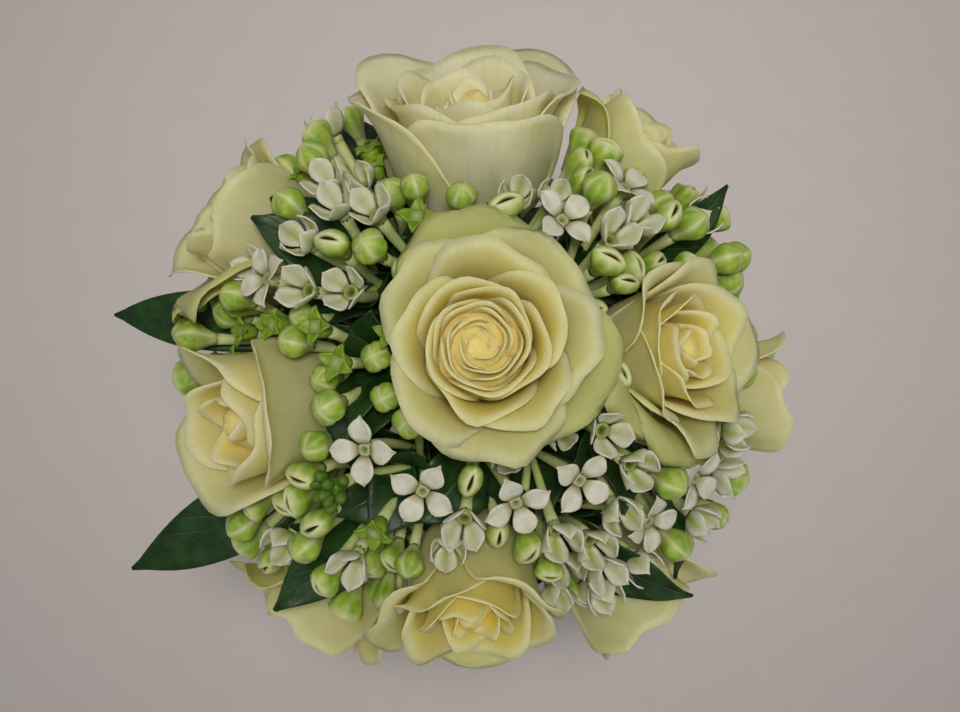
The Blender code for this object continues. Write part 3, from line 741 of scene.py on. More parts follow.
def leafLook():
    # bouvardia leaf: deep green waxy blade in shades about 6 mm wide, sunk side veins, paler rib
    look, tree, places, side, along = startLook("waxyLeaf", {
        "Roughness": 0.42, "Specular IOR Level": 0.35, "Subsurface Weight": 0.05, "Subsurface Scale": 0.002,
    }, "leafSide", "leafAlong")
    # nine pairs of side veins, each leaning towards the tip
    lean = addNode(tree, "Math", {0: side, 1: -0.20, 2: along}, operation="MULTIPLY_ADD")
    comb = addNode(tree, "Math", {0: lean, 1: 9 * turnFull}, operation="MULTIPLY")
    wave = addNode(tree, "Math", {0: comb}, operation="COSINE")
    vein, rib = (
        addNode(tree, "MapRange", {0: source, 1: start, 2: full}, interpolation_type="SMOOTHSTEP")
        for source, start, full in ((wave, 0.90, 1.0), (side, 0.07, 0.01))
    )
    veins = addNode(tree, "Math", {0: vein, 1: rib}, operation="MAXIMUM")
    paler = addNode(tree, "Math", {0: veins, 1: 0.16}, operation="MULTIPLY")
    blade = addNode(tree, "TexNoise", {0: places["Object"], "Scale": 160.0, "Detail": 4.0})
    coats = ("#27491A", blade, 0.35, 0.70), ("#456D30", paler)
    return finishLook(look, "#163312", coats, veins, 0.5, 0.0006, sunk=True)


def raffiaLook():
    # natural raffia: dry straw-coloured fibre, split and streaked along the strand every half millimetre
    look, tree, places = startLook("naturalRaffia", {"Roughness": 0.7})
    fibre = addNode(tree, "Mapping", {"Vector": places["UV"], "Scale": (14, 5, 1)})
    split = addNode(tree, "TexNoise", {0: fibre, "Scale": 1.0, "Detail": 5.0})
    return finishLook(look, "#A98A54", (("#E0C892", split, 0.30, 0.72),), split, 0.5, 0.0004)


rosePetal, roseStem, pith, budGreen, flowerWhite, leafGreen, raffia = (
    petalLook(), stemLook(), pithLook(), budLook(), whiteLook(), leafLook(), raffiaLook()
)
print("materials made")


# the ten blooms

bloomShape = {
    "triangle": 0.0, "corner": 0.0,     # how far the outline is drawn to three corners, and where
    "shift": 0.002, "shiftTo": 0.6,     # how far the heart is off centre, and in which direction
    "calm": 0.55,                       # how much straighter petals stand on the side towards the posy's axis
    "shut": 0.2,                        # how far that side closes over the heart
    "narrow": 1.5,                      # how little of the bloom belongs to that side
    "loose": 0.0,                       # how far its outside petals fall open all the same
    "cup": 1.4,                         # how long the middle petals stay upright
    "curl": 1.0,                        # how far the rims inside roll out
    "core": heartCore,
    "start": 0.0,                       # where its first petal stands
    "wide": 1.0, "ruffle": 0.3,
    # how much whiter the petals are: partly the bloom's own colour, partly painted light that lifts blooms
    # and faces the lamps leave darker
    "pale": 0.1,
}
bloomOwn = {
    "rose_centre": {"triangle": 0.045, "corner": 1.45, "shift": 0.0035, "shiftTo": 0.5, "calm": 0.0,
                    "shut": 0.0, "start": -9.6, "cup": 2.1, "curl": 0.75, "core": fullCore, "ruffle": 0.7,
                    "pale": 0.12},
    # the back bloom's whitest petals are partly painted light, so that it looks the most brightly lit
    "rose_back": {"triangle": 0.03, "corner": 0.4, "calm": 0.8, "shut": 0.55, "narrow": 2.2, "wide": 1.3,
                  "pale": 1.0},
    "rose_right": {"triangle": 0.03, "corner": 2.0, "calm": 0.4, "ruffle": 0.4, "pale": 0.25},
    "rose_left": {"wide": 1.25, "calm": 0.9, "shut": 0.8, "loose": 1.0, "ruffle": 0.2, "pale": 0.38},
    "rose_front": {"calm": 0.3, "shut": 0.0, "ruffle": 0.4},
    "rose_back_left": {"start": 0.9, "ruffle": 0.4, "shut": 0.5, "wide": 1.15, "pale": 0.55},
    "rose_back_right": {"start": 0.9, "shut": 0.5, "wide": 1.15, "pale": 0.4},
    "rose_far_right": {"start": 0.35, "shut": 0.4, "wide": 1.15, "pale": 0.5},
    "rose_front_left": {"wide": 1.25, "shut": 0.4, "pale": 0.4},
    "rose_front_right": {"start": 0.35, "shut": 0.4, "wide": 1.15, "pale": 0.5},
}
# greener petals outside a bloom: the azimuths that they face, how far they fold out and how wide they are
guardPetals = {
    "rose_centre": ((100, 0.9, 1.0), (330, 0.5, 1.0)),
    "rose_right": ((205, 0.7, 0.9), (250, 0.5, 0.9)),
    "rose_back_left": ((250, 0.8, 0.9), (300, 0.7, 0.9)),
    "rose_back_right": ((210, 0.2, 0.7),),
    "rose_front_left": ((100, 0.5, 0.8),),
}
bloomMake = {
    "guardGreen": 0.75, "outerGreen": 0.15,  # how green the guards and the outermost petals are
    "guardFold": 0.5,                        # how much more open a guard is when it folds right out
    "waveEach": 1.3,                         # how far each bloom's slow waves start after the last one's
    "coreTurns": 3.4, "coreFolds": (0.22, 0.0016),  # the core's top is folded round in a spiral
}
petalFlat = newGrid("petalFlat", petalMake["columns"], petalMake["rows"])
coreBall = newBall("coreBall", 36, 28)


def bloomFrame(name):
    return Matrix.Translation(roseBase(name)) @ facing(roseAxes[name], math.radians(roses[name][5]))


def makePetal(place, openness, angle, counts, draw, shape, green):
    piece = copied(petalFlat, "petal")
    s, t = gridPlaces(piece)
    wild = [draw.uniform(-1, 1) for _ in range(5)]
    turn = angle + petalMake["turnWild"] * wild[0]
    points, deep = bendPetal(s, t, place, openness, turn, counts, wild, shape)
    setPoints(piece, points)
    mark(piece, petalLayer=deep, petalAlong=t, petalGreen=green, petalPale=shape["pale"])
    return piece


def makeCore(shape):
    core = copied(coreBall, "core")
    angle, share = ballPlaces(core)
    heights, wide = zip(*shape["core"])
    at = np.linspace(0, 1, len(shape["core"]))
    r, z = np.interp(share, at, wide), np.interp(share, at, heights)
    fold = (angle / turnFull + bloomMake["coreTurns"] * share) % 1
    inward, upward = bloomMake["coreFolds"]
    r = r * (1 + inward * (fold**3 - 0.4) * np.clip(6 * share - 3, 0, 1))
    z = z + upward * (fold**3 - 0.4) * np.clip(6 * share - 4, 0, 1)
    setPoints(core, turnedOut(angle, r, 0, z) + turnedOut(shape["shiftTo"], shape["shift"]))
    mark(core, petalLayer=0, petalAlong=0.6, petalGreen=0, petalPale=0.5)
    return core


def makeBloom(name, number):
    size, openness, _, counts = roses[name][3:]
    draw = random.Random(100 + number)
    place = bloomFrame(name)
    toFlower = place.to_3x3().inverted()
    inward = toFlower @ Vector((0, 0, 1))
    shape = {**bloomShape, **bloomOwn[name], "phase": number * bloomMake["waveEach"],
             "calmTo": math.atan2(inward.y, inward.x)}
    count = sum(counts)
    pieces = []
    for k in range(petalMake["first"], count):
        green = bloomMake["outerGreen"] * max(0.0, (k - count + 4) / 4)
        angle = shape["start"] + k * spiralTurn
        pieces.append(makePetal(k + 0.5, openness, angle, counts, draw, shape, green))
    for azimuth, fold, wide in guardPetals.get(name, ()):
        toward = toFlower @ Vector(direction(azimuth, 90))
        angle = math.atan2(toward.y, toward.x)
        own = {**shape, "calm": 0, "shut": 0, "wide": wide}
        opened = openness + bloomMake["guardFold"] * fold
        pieces.append(makePetal(count + 1.5, opened, angle, counts, draw, own, bloomMake["guardGreen"]))
    bloom = joined(pieces, name + "_petals")
    thicken(bloom, petalMake["thick"] / size)
    bloom = joined([bloom, makeCore(shape)], name + "_petals")
    moved(bloom, place @ Matrix.Scale(size, 4))
    coat(bloom, rosePetal)
    settle(bloom, "rose_petal", name + "_bloom")


for number, name in enumerate(roses):
    makeBloom(name, number)
drop(petalFlat, coreBall)
print("blooms made")


# stems: a round rod modelled once and bent along each stem's line

stemMake = {
    "below": -0.004,                    # a stem starts under the table, where its foot is cut off
    "cutFace": (0.0002, -0.9),          # the cut face lies below this height, and looks down this much
    "flare": 0.10, "flareFrom": 0.93,   # a rose stem widens under its hip
}


def bendRod(rod, line, radius, flat=1.0, outward=None):
    # radius may follow the share along; flat squeezes the rod along outward
    angle, share = rodPlaces(rod)
    steps = np.linalg.norm(np.diff(line, axis=0), axis=1)
    at = np.concatenate([[0], np.cumsum(steps)]) / steps.sum()
    heading = np.gradient(line, at, axis=0)
    heading /= np.linalg.norm(heading, axis=1)[:, None]
    if outward is None:
        side = [across(heading[0])[0]]
        for ahead in heading[1:]:
            side.append(unit(side[-1] - ahead * (side[-1] @ ahead)))
        side = np.array(side)
    else:
        side = np.array([unit(o - h * (o @ h)) for o, h in zip(outward, heading)])
    other = np.cross(heading, side)

    def along(values):
        return np.stack([np.interp(share, at, column) for column in values.T], axis=1)

    size = radius(share) if callable(radius) else np.full(len(share), radius)
    turned = flat * np.cos(angle)[:, None] * along(side) + np.sin(angle)[:, None] * along(other)
    setPoints(rod, along(line) + size[:, None] * turned)
    return share


def cutLevel(piece):
    # the foot of a stem is cut level with the table
    pick(piece)
    bpy.ops.object.mode_set(mode="EDIT")
    bpy.ops.mesh.select_all(action="SELECT")
    bpy.ops.mesh.bisect(plane_co=(0, 0, 0), plane_no=(0, 0, 1), use_fill=True, clear_inner=True)
    bpy.ops.object.mode_set(mode="OBJECT")


def paintCut(piece):
    # the cut face shows the pith
    piece.data.materials.append(pith)
    height, slope = stemMake["cutFace"]
    for face in piece.data.polygons:
        if face.center.z < height and face.normal.z < slope:
            face.material_index = len(piece.data.materials) - 1


def stemPath(name):
    foot = winding(tiePlaces[list(stems).index(name)], stemMake["below"])
    return np.concatenate([[foot], stems[name][1:]])


hipMake = {
    "profile": ((0.0, 0.0031), (0.25, 0.0044), (0.55, 0.0062), (0.8, 0.0064), (1.0, 0.0058)),
    "edge": 0.08,                       # share of its height where each end rounds off
    "under": 0.002,                     # how far it reaches down over the stem
}
sepalMake = {
    "count": 5,
    "length": 0.021, "width": 0.0062, "thick": 0.0006, "tipWidth": 0.0003,
    "turn": (95, 170),                  # degrees that a sepal turns down, at its foot and tip
    "foot": (0.85, 0.0012),             # where it starts: share of the hip's radius, and depth
    "drop": 0.62, "roll": 0.0011,       # how far its tip hangs, as a share of its length, and its edges roll
}
roseRod = newRod("roseRod", 14, 44)
sprayRod = newRod("sprayRod", 10, 36)
hipBall = newBall("hipBall", 20, 12)
leafFlat = newGrid("leafFlat", 8, 20)


def makeSepal(turn):
    # a sepal leaves the top of the hip and turns down, its edges rolled
    sepal = copied(leafFlat, "sepal")
    s, t = gridPlaces(sepal)
    length = sepalMake["length"]
    footOut, footDown = sepalMake["foot"]
    bend = np.radians(between(sepalMake["turn"], t))
    out = posy["calyxRadius"] * footOut + length * (np.sin(bend) * t + 0.12 * t)
    down = -posy["meetingGap"] - footDown - length * sepalMake["drop"] * t**1.5
    shoulder = 1 + 0.5 * np.exp(-((t - 0.05) / 0.12) ** 2)
    wide = sepalMake["width"] / 2 * np.clip(1 - t, 0, 1) ** 0.75 * shoulder
    wide = np.maximum(wide, sepalMake["tipWidth"])
    setPoints(sepal, turnedOut(turn, out, s * wide, down + sepalMake["roll"] * s**2 * (1 - t)))
    thicken(sepal, sepalMake["thick"])
    return sepal


def makeRoseStem(name):
    rod = copied(roseRod, "stem")
    flare, flareFrom = stemMake["flare"], stemMake["flareFrom"]
    bendRod(rod, smoothLine(stemPath(name)), lambda share: posy["roseStemRadius"] * (
        1 + flare * np.clip((share - flareFrom) / (1 - flareFrom), 0, 1)))
    cutLevel(rod)
    hip = copied(hipBall, "hip")
    angle, share = ballPlaces(hip)
    at, wide = zip(*hipMake["profile"])
    edge = np.clip(np.minimum(share, 1 - share) / hipMake["edge"], 0, 1) ** 0.5
    z = -posy["meetingGap"] - (1 - share) * (posy["calyxDepth"] + hipMake["under"])
    setPoints(hip, turnedOut(angle, np.interp(share, at, wide) * edge, 0, z))
    count = sepalMake["count"]
    calyx = joined([hip] + [makeSepal((k + 0.5) * turnFull / count) for k in range(count)], "calyx")
    moved(calyx, bloomFrame(name))
    whole = joined([rod, calyx], name + "_stalk")
    coat(whole, roseStem)
    paintCut(whole)
    settle(whole, "rose_stem", name + "_stem")


for name in roses:
    makeRoseStem(name)
drop(roseRod, hipBall)
print("rose stems made")


# bouvardia: heads modelled once, each on its own tube

flowerMake = {
    "tubeRadius": 0.0013, "tubeWiden": 1.75,
    "sides": 24,
    "seam": 0.13, "keel": 0.04,          # how deep a closed bud's four seams are, and how proud its panels
    "petalThick": 0.0005, "starThick": 0.0009,
    "lobes": 4,
    "youngBuds": 9, "youngSize": (0.0021, 0.0021, 0.0030),
    "faces": (0.3, 0.7),                 # how far a flower looks along its tube, and straight out of the dome
    "sets": (0.6, 0.4),                  # how far its tube sets out towards it, and on up the spray
}
# half width, half depth and height in millimetres, then paleness and painted shade (the dark inside sunk
# slits, mouths and dimples), from the tube up
headRings = {
    "bud": ((0, 0, -1.2, 0.5, 0), (2.2, 2.2, -1.0, 0.5, 0), (2.6, 2.6, 1.2, 0.45, 0),
            (3.6, 3.6, 3.4, 0.25, 0), (4.9, 4.9, 5.6, 0.1, 0), (5.9, 5.9, 8.0, 0, 0),
            (6.1, 6.1, 9.9, 0, 0), (5.2, 5.2, 11.8, 0, 0), (3.4, 3.4, 13.4, 0.15, 0),
            (1.5, 1.5, 14.5, 0.4, 0), (0, 0, 15.0, 0.7, 0)),
    "slit": ((0, 0, -1.2, 0.5, 0), (2.2, 2.2, -1.0, 0.5, 0), (2.7, 2.5, 1.4, 0.45, 0),
             (3.9, 3.3, 4.0, 0.25, 0), (5.4, 4.2, 6.6, 0.05, 0), (6.4, 4.7, 9.0, 0, 0),
             (6.6, 4.4, 11.0, 0.05, 0), (6.1, 3.3, 12.6, 0.4, 0), (5.3, 2.1, 13.7, 0.9, 0),
             (4.5, 1.3, 14.1, 1, 0), (3.8, 0.8, 13.7, 0.9, 0.2), (3.2, 0.4, 12.6, 0, 1),
             (0, 0, 11.8, 0, 1)),
    "mouth": ((0, 0, -1.2, 0.6, 0), (2.1, 2.1, -1.0, 0.6, 0), (2.4, 2.4, 1.2, 0.6, 0),
              (2.5, 2.5, 2.9, 0.5, 0), (1.5, 1.5, 2.6, 0.2, 0.6), (0, 0, 1.6, 0, 1)),
    "longMouth": ((0, 0, -1.2, 0.6, 0), (2.1, 2.1, -1.0, 0.6, 0), (2.3, 2.3, 1.6, 0.6, 0),
                  (2.4, 2.4, 3.9, 0.9, 0.1), (1.6, 1.6, 4.1, 0.9, 0.35), (0, 0, 2.6, 0.5, 0.85)),
    "swelling": ((0, 0, -1.2, 0.4, 0), (2.1, 2.1, -1.0, 0.4, 0), (3.0, 3.0, 1.8, 0.1, 0),
                 (3.8, 3.8, 5.0, 0, 0), (3.5, 3.5, 6.9, 0, 0), (1.8, 1.8, 6.7, 0.3, 0.2),
                 (0, 0, 6.9, 0.6, 0)),
}
# radius and height in millimetres from the mouth to the tip, greatest width, how far the edges cup up,
# how green the back is, how far up the throat's colour reaches, and whether the lobe narrows all the way
corollas = {
    "tulip": (((2.2, 2.2), (4.9, 4.6), (6.3, 7.8), (6.4, 10.8), (5.2, 13.4)), 9.0, 0.6, 1.0, 0.10, False),
    "cup": (((2.2, 2.2), (4.6, 4.8), (6.2, 7.8), (7.0, 10.4), (7.6, 12.6)), 8.6, 1.0, 0.6, 0.15, False),
    "open": (((2.0, 3.7), (4.8, 5.3), (7.8, 6.2), (10.4, 6.3), (12.2, 5.6)), 8.4, 0.9, 0.0, 0.24, False),
    "star": (((2.2, 6.2), (3.8, 7.3), (5.4, 7.9), (7.0, 7.4)), 5.6, 0.3, 0.0, 0.0, True),
}
floretFlat = newGrid("floretFlat", 6, 8)
tubeRod = newRod("tubeRod", 8, 6)


def modelBody(kind, folded=False, pointed=False, deepGreen=0.0):
    # a closed body laid over a ball's rings; a folded one has four seams with pale edges, and the mouth
    # of a pointed one narrows and falls away to both ends
    rings = headRings[kind]
    body = newBall(kind, flowerMake["sides"], len(rings) - 1)
    angle, share = ballPlaces(body)
    at = np.linspace(0, 1, len(rings))
    wide, deep, height, pale, dark = (np.interp(share, at, column) for column in zip(*rings))
    panel = 0.5 + 0.5 * np.cos(4 * angle)
    seam = (1 - panel) ** 5
    stripe = (0.5 + 0.5 * np.cos(8 * angle)) ** 5
    belly = np.sin(math.pi * share) ** 0.7
    if pointed:
        deep = deep * np.abs(np.sin(angle)) ** (0.9 * np.clip(2 * share - 0.8, 0, 1))
        pale = np.clip(pale + 0.25 * stripe * belly, 0, 1)
        height = height - 0.1 * (wide * np.cos(angle)) ** 2 * np.clip(3.3 * share - 1.7, 0, 1)
    if folded:
        swell = 1 + (flowerMake["keel"] * panel - flowerMake["seam"] * seam) * belly
        wide, deep = wide * swell, deep * swell
        pale = np.clip(pale + (0.75 * seam + 0.2 * stripe) * belly, 0, 1)
    setPoints(body, np.stack([wide * np.cos(angle), deep * np.sin(angle), height], axis=1) / 1000)
    # the sunk slits, mouths and dimples are marked for painted shade, a near black colour that stands in for
    # their shadow
    mark(body, pale=pale, dark=dark, deepGreen=deepGreen)
    coat(body, budGreen)
    return body


def modelCorolla(kind):
    # petals round the tube's mouth
    path, width, cup, keel, throat, narrowing = corollas[kind]
    lobes = flowerMake["lobes"]
    at = np.linspace(0, 1, len(path))
    parts = []
    for k in range(lobes):
        piece = copied(floretFlat, "floret")
        s, t = gridPlaces(piece)
        r, z = (np.interp(t, at, column) for column in zip(*path))
        if narrowing:
            wide = width / 2 * np.maximum(1 - t, 0.04) ** 0.8
        else:
            wide = width / 2 * np.maximum(np.sin(math.pi * t**0.8), 0.02) ** (0.65 + 1.1 * t)
        wide = np.maximum(wide, np.where(t < 0.2, r * math.sin(math.pi / lobes) * 1.05, 0))
        z = z + cup * s**2 * np.sin(math.pi * np.clip(t * 0.9 + 0.05, 0, 1)) - 0.4 * (1 - np.abs(s)) ** 2 * t
        setPoints(piece, turnedOut(k * turnFull / lobes, r, s * wide, z) / 1000)
        mark(piece, throat=np.clip(1 - t / throat, 0, 1) if throat else 0, deepGreen=0.25,
             keel=keel * np.exp(-((s / 0.45) ** 2)) * np.clip(1.25 * (1 - t) ** 0.7, 0, 1))
        parts.append(piece)
    corolla = joined(parts, "corolla")
    thicken(corolla, flowerMake["starThick" if narrowing else "petalThick"])
    coat(corolla, budGreen if narrowing else flowerWhite)
    return corolla


def modelCluster():
    # young buds, still tight and dark green
    berry = newBall("berry", 8, 6)
    parts = []
    for k in range(flowerMake["youngBuds"]):
        away, turn = 2.5 * math.sqrt(k), spiralTurn * k
        x, y, lift = away * math.cos(turn), away * math.sin(turn), 9.5 - 0.1 * away**2
        part = copied(berry, "youngBud")
        moved(part, Matrix.Translation(Vector((x, y, lift)) / 1000) @ facing(unit((x, y, 8)))
              @ Matrix.Diagonal((*flowerMake["youngSize"], 1)))
        mark(part, deepGreen=0.75)
        coat(part, budGreen)
        parts.append(part)
    drop(berry)
    return joined(parts + [modelBody("swelling", deepGreen=0.7)], "youngCluster")


# b closed bud, s bud with its slit just open, h and w half open, o open, g green star, c young cluster
heads = {
    "b": modelBody("bud", folded=True),
    "s": modelBody("slit", pointed=True),
    "h": joined([modelCorolla("tulip"), modelBody("mouth")], "tulipHead"),
    "w": joined([modelCorolla("cup"), modelBody("mouth")], "cupHead"),
    "o": joined([modelCorolla("open"), modelBody("longMouth")], "openHead"),
    "g": joined([modelCorolla("star"), modelBody("swelling", deepGreen=0.2)], "greenStar"),
    "c": modelCluster(),
}


def flowerAxis(root, neck):
    along, out = flowerMake["faces"]
    return unit(along * unit(neck - root) + out * unit(neck - domeCentre))


def tubeLine(root, neck, back):
    toward, on = flowerMake["sets"]
    return hermite(root, unit(toward * unit(neck - root) - on * back), neck, flowerAxis(root, neck))


def sprayPath(index):
    # the spray's stem, and the way back down it from its top
    points = stemPath(list(sprays)[index])
    return points, unit(points[-2] - points[-1])


# smaller flowers and dark leaves that fill between the ones laid out above, clear of the roses' cups

fillMake = {
    "tried": 4000, "tiltTo": 100,
    "reach": (0.084, 0.096),
    "size": (0.80, 1.0),
    "radius": {"b": 0.0066, "s": 0.0064, "h": 0.0070, "w": 0.0074, "o": 0.0110, "g": 0.0066},
    "crowding": 0.78,                # how close two flowers may stand, as a share of their radii
    "farthest": 34,                  # degrees from the middle of the spray
    "roseRoom": 1.08,                # how much wider than its outline a rose is kept clear
    "hipRoom": (0.0075, 0.014),      # the least width kept clear of its axis, and how far that goes below it
    "leafRoom": 0.005, "tubeRoom": 0.0012,
    "rootFrom": 0.004,               # least distance from the top of the spray to a flower's root
    "headAt": (0.002, 0.007, 0.013),  # heights in a head where it is kept clear of the roses
    # azimuth where each stretch ends, and the heads that grow there
    "looks": ((25, "bs"), (80, "bssbh"), (110, "bbsh"), (160, "hwbgs"), (205, "gbbg"), (255, "sbbs"),
              (295, "oshs"), (345, "hswhs"), (360, "bs")),
    # azimuth and tilt of the hollows between the clusters, and how wide they are
    "hollows": ((200, 27, 0.013), (139, 50, 0.010), (318, 64, 0.010), (320, 34, 0.008), (238, 25, 0.010),
                (150, 25, 0.008), (231, 47, 0.012), (222, 60, 0.008)),
}
# spray, share of the way up its stem, then azimuth, tilt and reach of the tip, and the width
leaves = (
    ("bouvardia_07", 0.8, 172, 90, 0.136, 0.022), ("bouvardia_08", 0.7, 211, 91, 0.150, 0.027),
    ("bouvardia_10", 0.9, 206, 27, 0.098, 0.028), ("bouvardia_10", 0.9, 165, 25, 0.098, 0.024),
    ("bouvardia_02", 0.9, 146, 55, 0.112, 0.024), ("bouvardia_09", 0.9, 231, 65, 0.122, 0.024),
    ("bouvardia_16", 0.9, 314, 68, 0.122, 0.024), ("bouvardia_14", 0.9, 316, 44, 0.104, 0.024),
    ("bouvardia_06", 0.9, 35, 72, 0.118, 0.018), ("bouvardia_04", 0.9, 84, 34, 0.098, 0.022),
    ("bouvardia_11", 0.9, 240, 42, 0.100, 0.026), ("bouvardia_01", 0.5, 118, 98, 0.112, 0.028),
    ("bouvardia_06", 0.5, 22, 102, 0.112, 0.028), ("bouvardia_07", 0.5, 188, 104, 0.116, 0.028),
    ("bouvardia_16", 0.5, 275, 100, 0.112, 0.028), ("bouvardia_15", 0.5, 330, 104, 0.112, 0.028),
)
# broad leaves across the hollows: spray, then azimuth, tilt and reach of the tip, and the width
broadLeaves = (
    ("bouvardia_10", 215, 34, 0.095, 0.030), ("bouvardia_10", 150, 24, 0.094, 0.022),
    ("bouvardia_02", 140, 60, 0.106, 0.024), ("bouvardia_15", 314, 71, 0.112, 0.024),
    ("bouvardia_14", 312, 31, 0.093, 0.022), ("bouvardia_11", 236, 22, 0.092, 0.024),
    ("bouvardia_12", 250, 38, 0.092, 0.026), ("bouvardia_11", 228, 46, 0.096, 0.026),
    ("bouvardia_09", 222, 58, 0.100, 0.024),
)
leafFill = {
    "tried": 700, "tiltTo": 101,
    "reach": (0.070, 0.088), "length": 0.044, "width": 0.026,
    "wild": (0.85, 1.1),             # how much that width varies
    "apart": 0.0095,                 # least distance between two tips
    "arch": 0.005, "side": 0.36,     # height and share of the width at which a leaf is kept off the roses
    "into": 0.001,                   # how far it may pass into a rose
}
leafLift = np.array([0, 0, 0.02])  # keeps a leaf's face turned a little up
# a look for the laid-out flower that stands nearest to an azimuth and tilt
seenAs = (("g", 165, 27), ("g", 187, 25), ("g", 241, 33), ("c", 227, 40), ("g", 118, 28), ("w", 130, 52),
          ("w", 135, 42))


def spreadDirections(count, tiltTo, seed):
    # evenly spread over the dome, in a mixed order
    lowest = math.cos(math.radians(tiltTo))
    made = []
    for k in range(count):
        up = 1 - (k + 0.5) / count * (1 - lowest)
        turn, flat = spiralTurn * k, math.sqrt(1 - up * up)
        made.append(np.array([flat * math.cos(turn), flat * math.sin(turn), up]))
    random.Random(seed).shuffle(made)
    return made


def clearOfRoses(points, margin):
    least, below = fillMake["hipRoom"]
    for name, axis in roseAxes.items():
        r, z = bloomOutlines[name]
        away = points - roseBase(name)
        height = away @ axis
        out = np.linalg.norm(away - height[:, None] * axis, axis=1)
        reached = z[None, :] <= height[:, None] + 0.001
        limit = np.where(reached, r[None, :] * fillMake["roseRoom"], least).max(axis=1)
        if ((out < limit + margin) & (height > -below)).any():
            return False
    return True


def layFillers():
    draw = random.Random(11)
    taken = [(unit(neck), flowerLay["radius"][kind]) for neck, kind in zip(flowerNecks, flowerKinds)]
    shown = [(direction(leaf[2], leaf[3]), fillMake["leafRoom"]) for leaf in leaves if leaf[3] < 80]
    shown += [(direction(azimuth, tilt), wide) for azimuth, tilt, wide in fillMake["hollows"]]
    made = []
    for toward in spreadDirections(fillMake["tried"], fillMake["tiltTo"], 5):
        azimuth = math.degrees(math.atan2(toward[1], toward[0])) % 360
        growing = next(looks for ends, looks in fillMake["looks"] if azimuth <= ends)
        look, size = draw.choice(growing), between(fillMake["size"], draw.random())
        reach = between(fillMake["reach"], draw.random())
        radius = fillMake["radius"][look] * size
        gaps = [np.linalg.norm(toward - other) * posy["neckReach"] - fillMake["crowding"] * (radius + wide)
                for other, wide in taken + shown]
        owner = int((sprayAxes @ toward).argmax())
        if min(gaps) < 0 or sprayAxes[owner] @ toward < math.cos(math.radians(fillMake["farthest"])):
            continue
        points, back = sprayPath(owner)
        neck = domeCentre + toward * reach
        root = points[-1] + back * (fillMake["rootFrom"] + posy["branching"] * draw.random())
        head = neck + flowerAxis(root, neck) * np.array(fillMake["headAt"])[:, None] * size
        tube = tubeLine(root, neck, back)[1:-1]
        if not clearOfRoses(head, 0.5 * radius) or not clearOfRoses(tube, fillMake["tubeRoom"]):
            continue
        taken.append((toward, radius))
        made.append((owner, look, root, neck, size, turnFull * draw.random()))
    return made


def layLeaves():
    draw = random.Random(23)
    length, width = leafFill["length"], leafFill["width"]
    made, tips = [], []
    for toward in spreadDirections(leafFill["tried"], leafFill["tiltTo"], 9):
        tip = domeCentre + toward * between(leafFill["reach"], draw.random())
        owner = int((sprayAxes @ toward).argmax())
        line = smoothLine(sprayPath(owner)[0][2:])
        root = line[np.abs(np.linalg.norm(line - tip, axis=1) - length).argmin()]
        if any(np.linalg.norm(tip - other) < leafFill["apart"] for other in tips):
            continue
        run = tip - root
        side = unit(np.cross(run, toward + leafLift)) * width * leafFill["side"]
        spine = root + run * np.linspace(0.3, 1, 7)[:, None] + toward * leafFill["arch"]
        if not clearOfRoses(np.concatenate([spine, spine[:-1] + side, spine[:-1] - side]), -leafFill["into"]):
            continue
        tips.append(tip)
        made.append((owner, root, tip, width * draw.uniform(*leafFill["wild"]), draw.random() * turnFull))
    return made


def chosenLooks():
    looks = []
    for k, kind in enumerate(flowerKinds):
        looks.append("s" if kind == "b" and k % 2 else "w" if kind == "h" and k % 3 == 0 else kind)
    for look, azimuth, tilt in seenAs:
        looks[int((flowerNecks @ direction(azimuth, tilt)).argmax())] = look
    return looks


def makeFlower(look, root, neck, turn, back, size=1.0):
    tube = copied(tubeRod, "tube")
    wide = flowerMake["tubeWiden"] * size - 1
    share = bendRod(tube, tubeLine(root, neck, back),
                    lambda share: flowerMake["tubeRadius"] * (1 + wide * share**1.5))
    mark(tube, pale=0.35 + 0.35 * share)
    coat(tube, budGreen)
    head = copied(heads[look], "head")
    moved(head, Matrix.Translation(neck) @ facing(flowerAxis(root, neck), turn) @ Matrix.Scale(size, 4))
    return [tube, head]


leafMake = {
    "thick": 0.00055,
    "arch": 0.14, "fold": 0.22, "wave": 0.05,  # shares of the length, the half width and the width
    "edge": (0.05, 0.09),            # least share of the width, on the tip's half and on the foot's
}


def makeLeaf(root, tip, width, phase):
    blade = copied(leafFlat, "leaf")
    s, t = gridPlaces(blade)
    run = tip - root
    out = unit(root + tip - 2 * domeCentre + leafLift)
    side = unit(np.cross(run, out))
    up = np.cross(side, unit(run))
    wide = np.maximum(np.sin(math.pi * t**1.1), 0.02) ** (0.6 + 0.4 * t)
    wide = np.maximum(wide, between(leafMake["edge"], t < 0.5)) * width / 2
    rise = leafMake["arch"] * np.linalg.norm(run) * 4 * t * (1 - t)
    rise = rise + leafMake["fold"] * np.abs(s) ** 1.3 * wide
    rise = rise + leafMake["wave"] * width * np.sin(5 * math.pi * t + phase) * np.abs(s) * t
    setPoints(blade, root + run * t[:, None] + side * (s * wide)[:, None] + up * rise[:, None])
    mark(blade, leafSide=np.abs(s), leafAlong=t)
    thicken(blade, leafMake["thick"])
    coat(blade, leafGreen)
    return blade


looks, fillers, underLeaves = chosenLooks(), layFillers(), layLeaves()
print("fillers laid out:", len(fillers), "flowers,", len(underLeaves), "leaves")

sprayMake = {
    "joint": 0.16, "jointEvery": 0.23, "jointHalf": 0.008,  # a stem swells a little at its joints
    "flowerFrom": 0.002, "leafFrom": 0.006,  # distance down from the top of the stem
    "flowerTurn": 0.7,                       # radians from one flower to the next
}


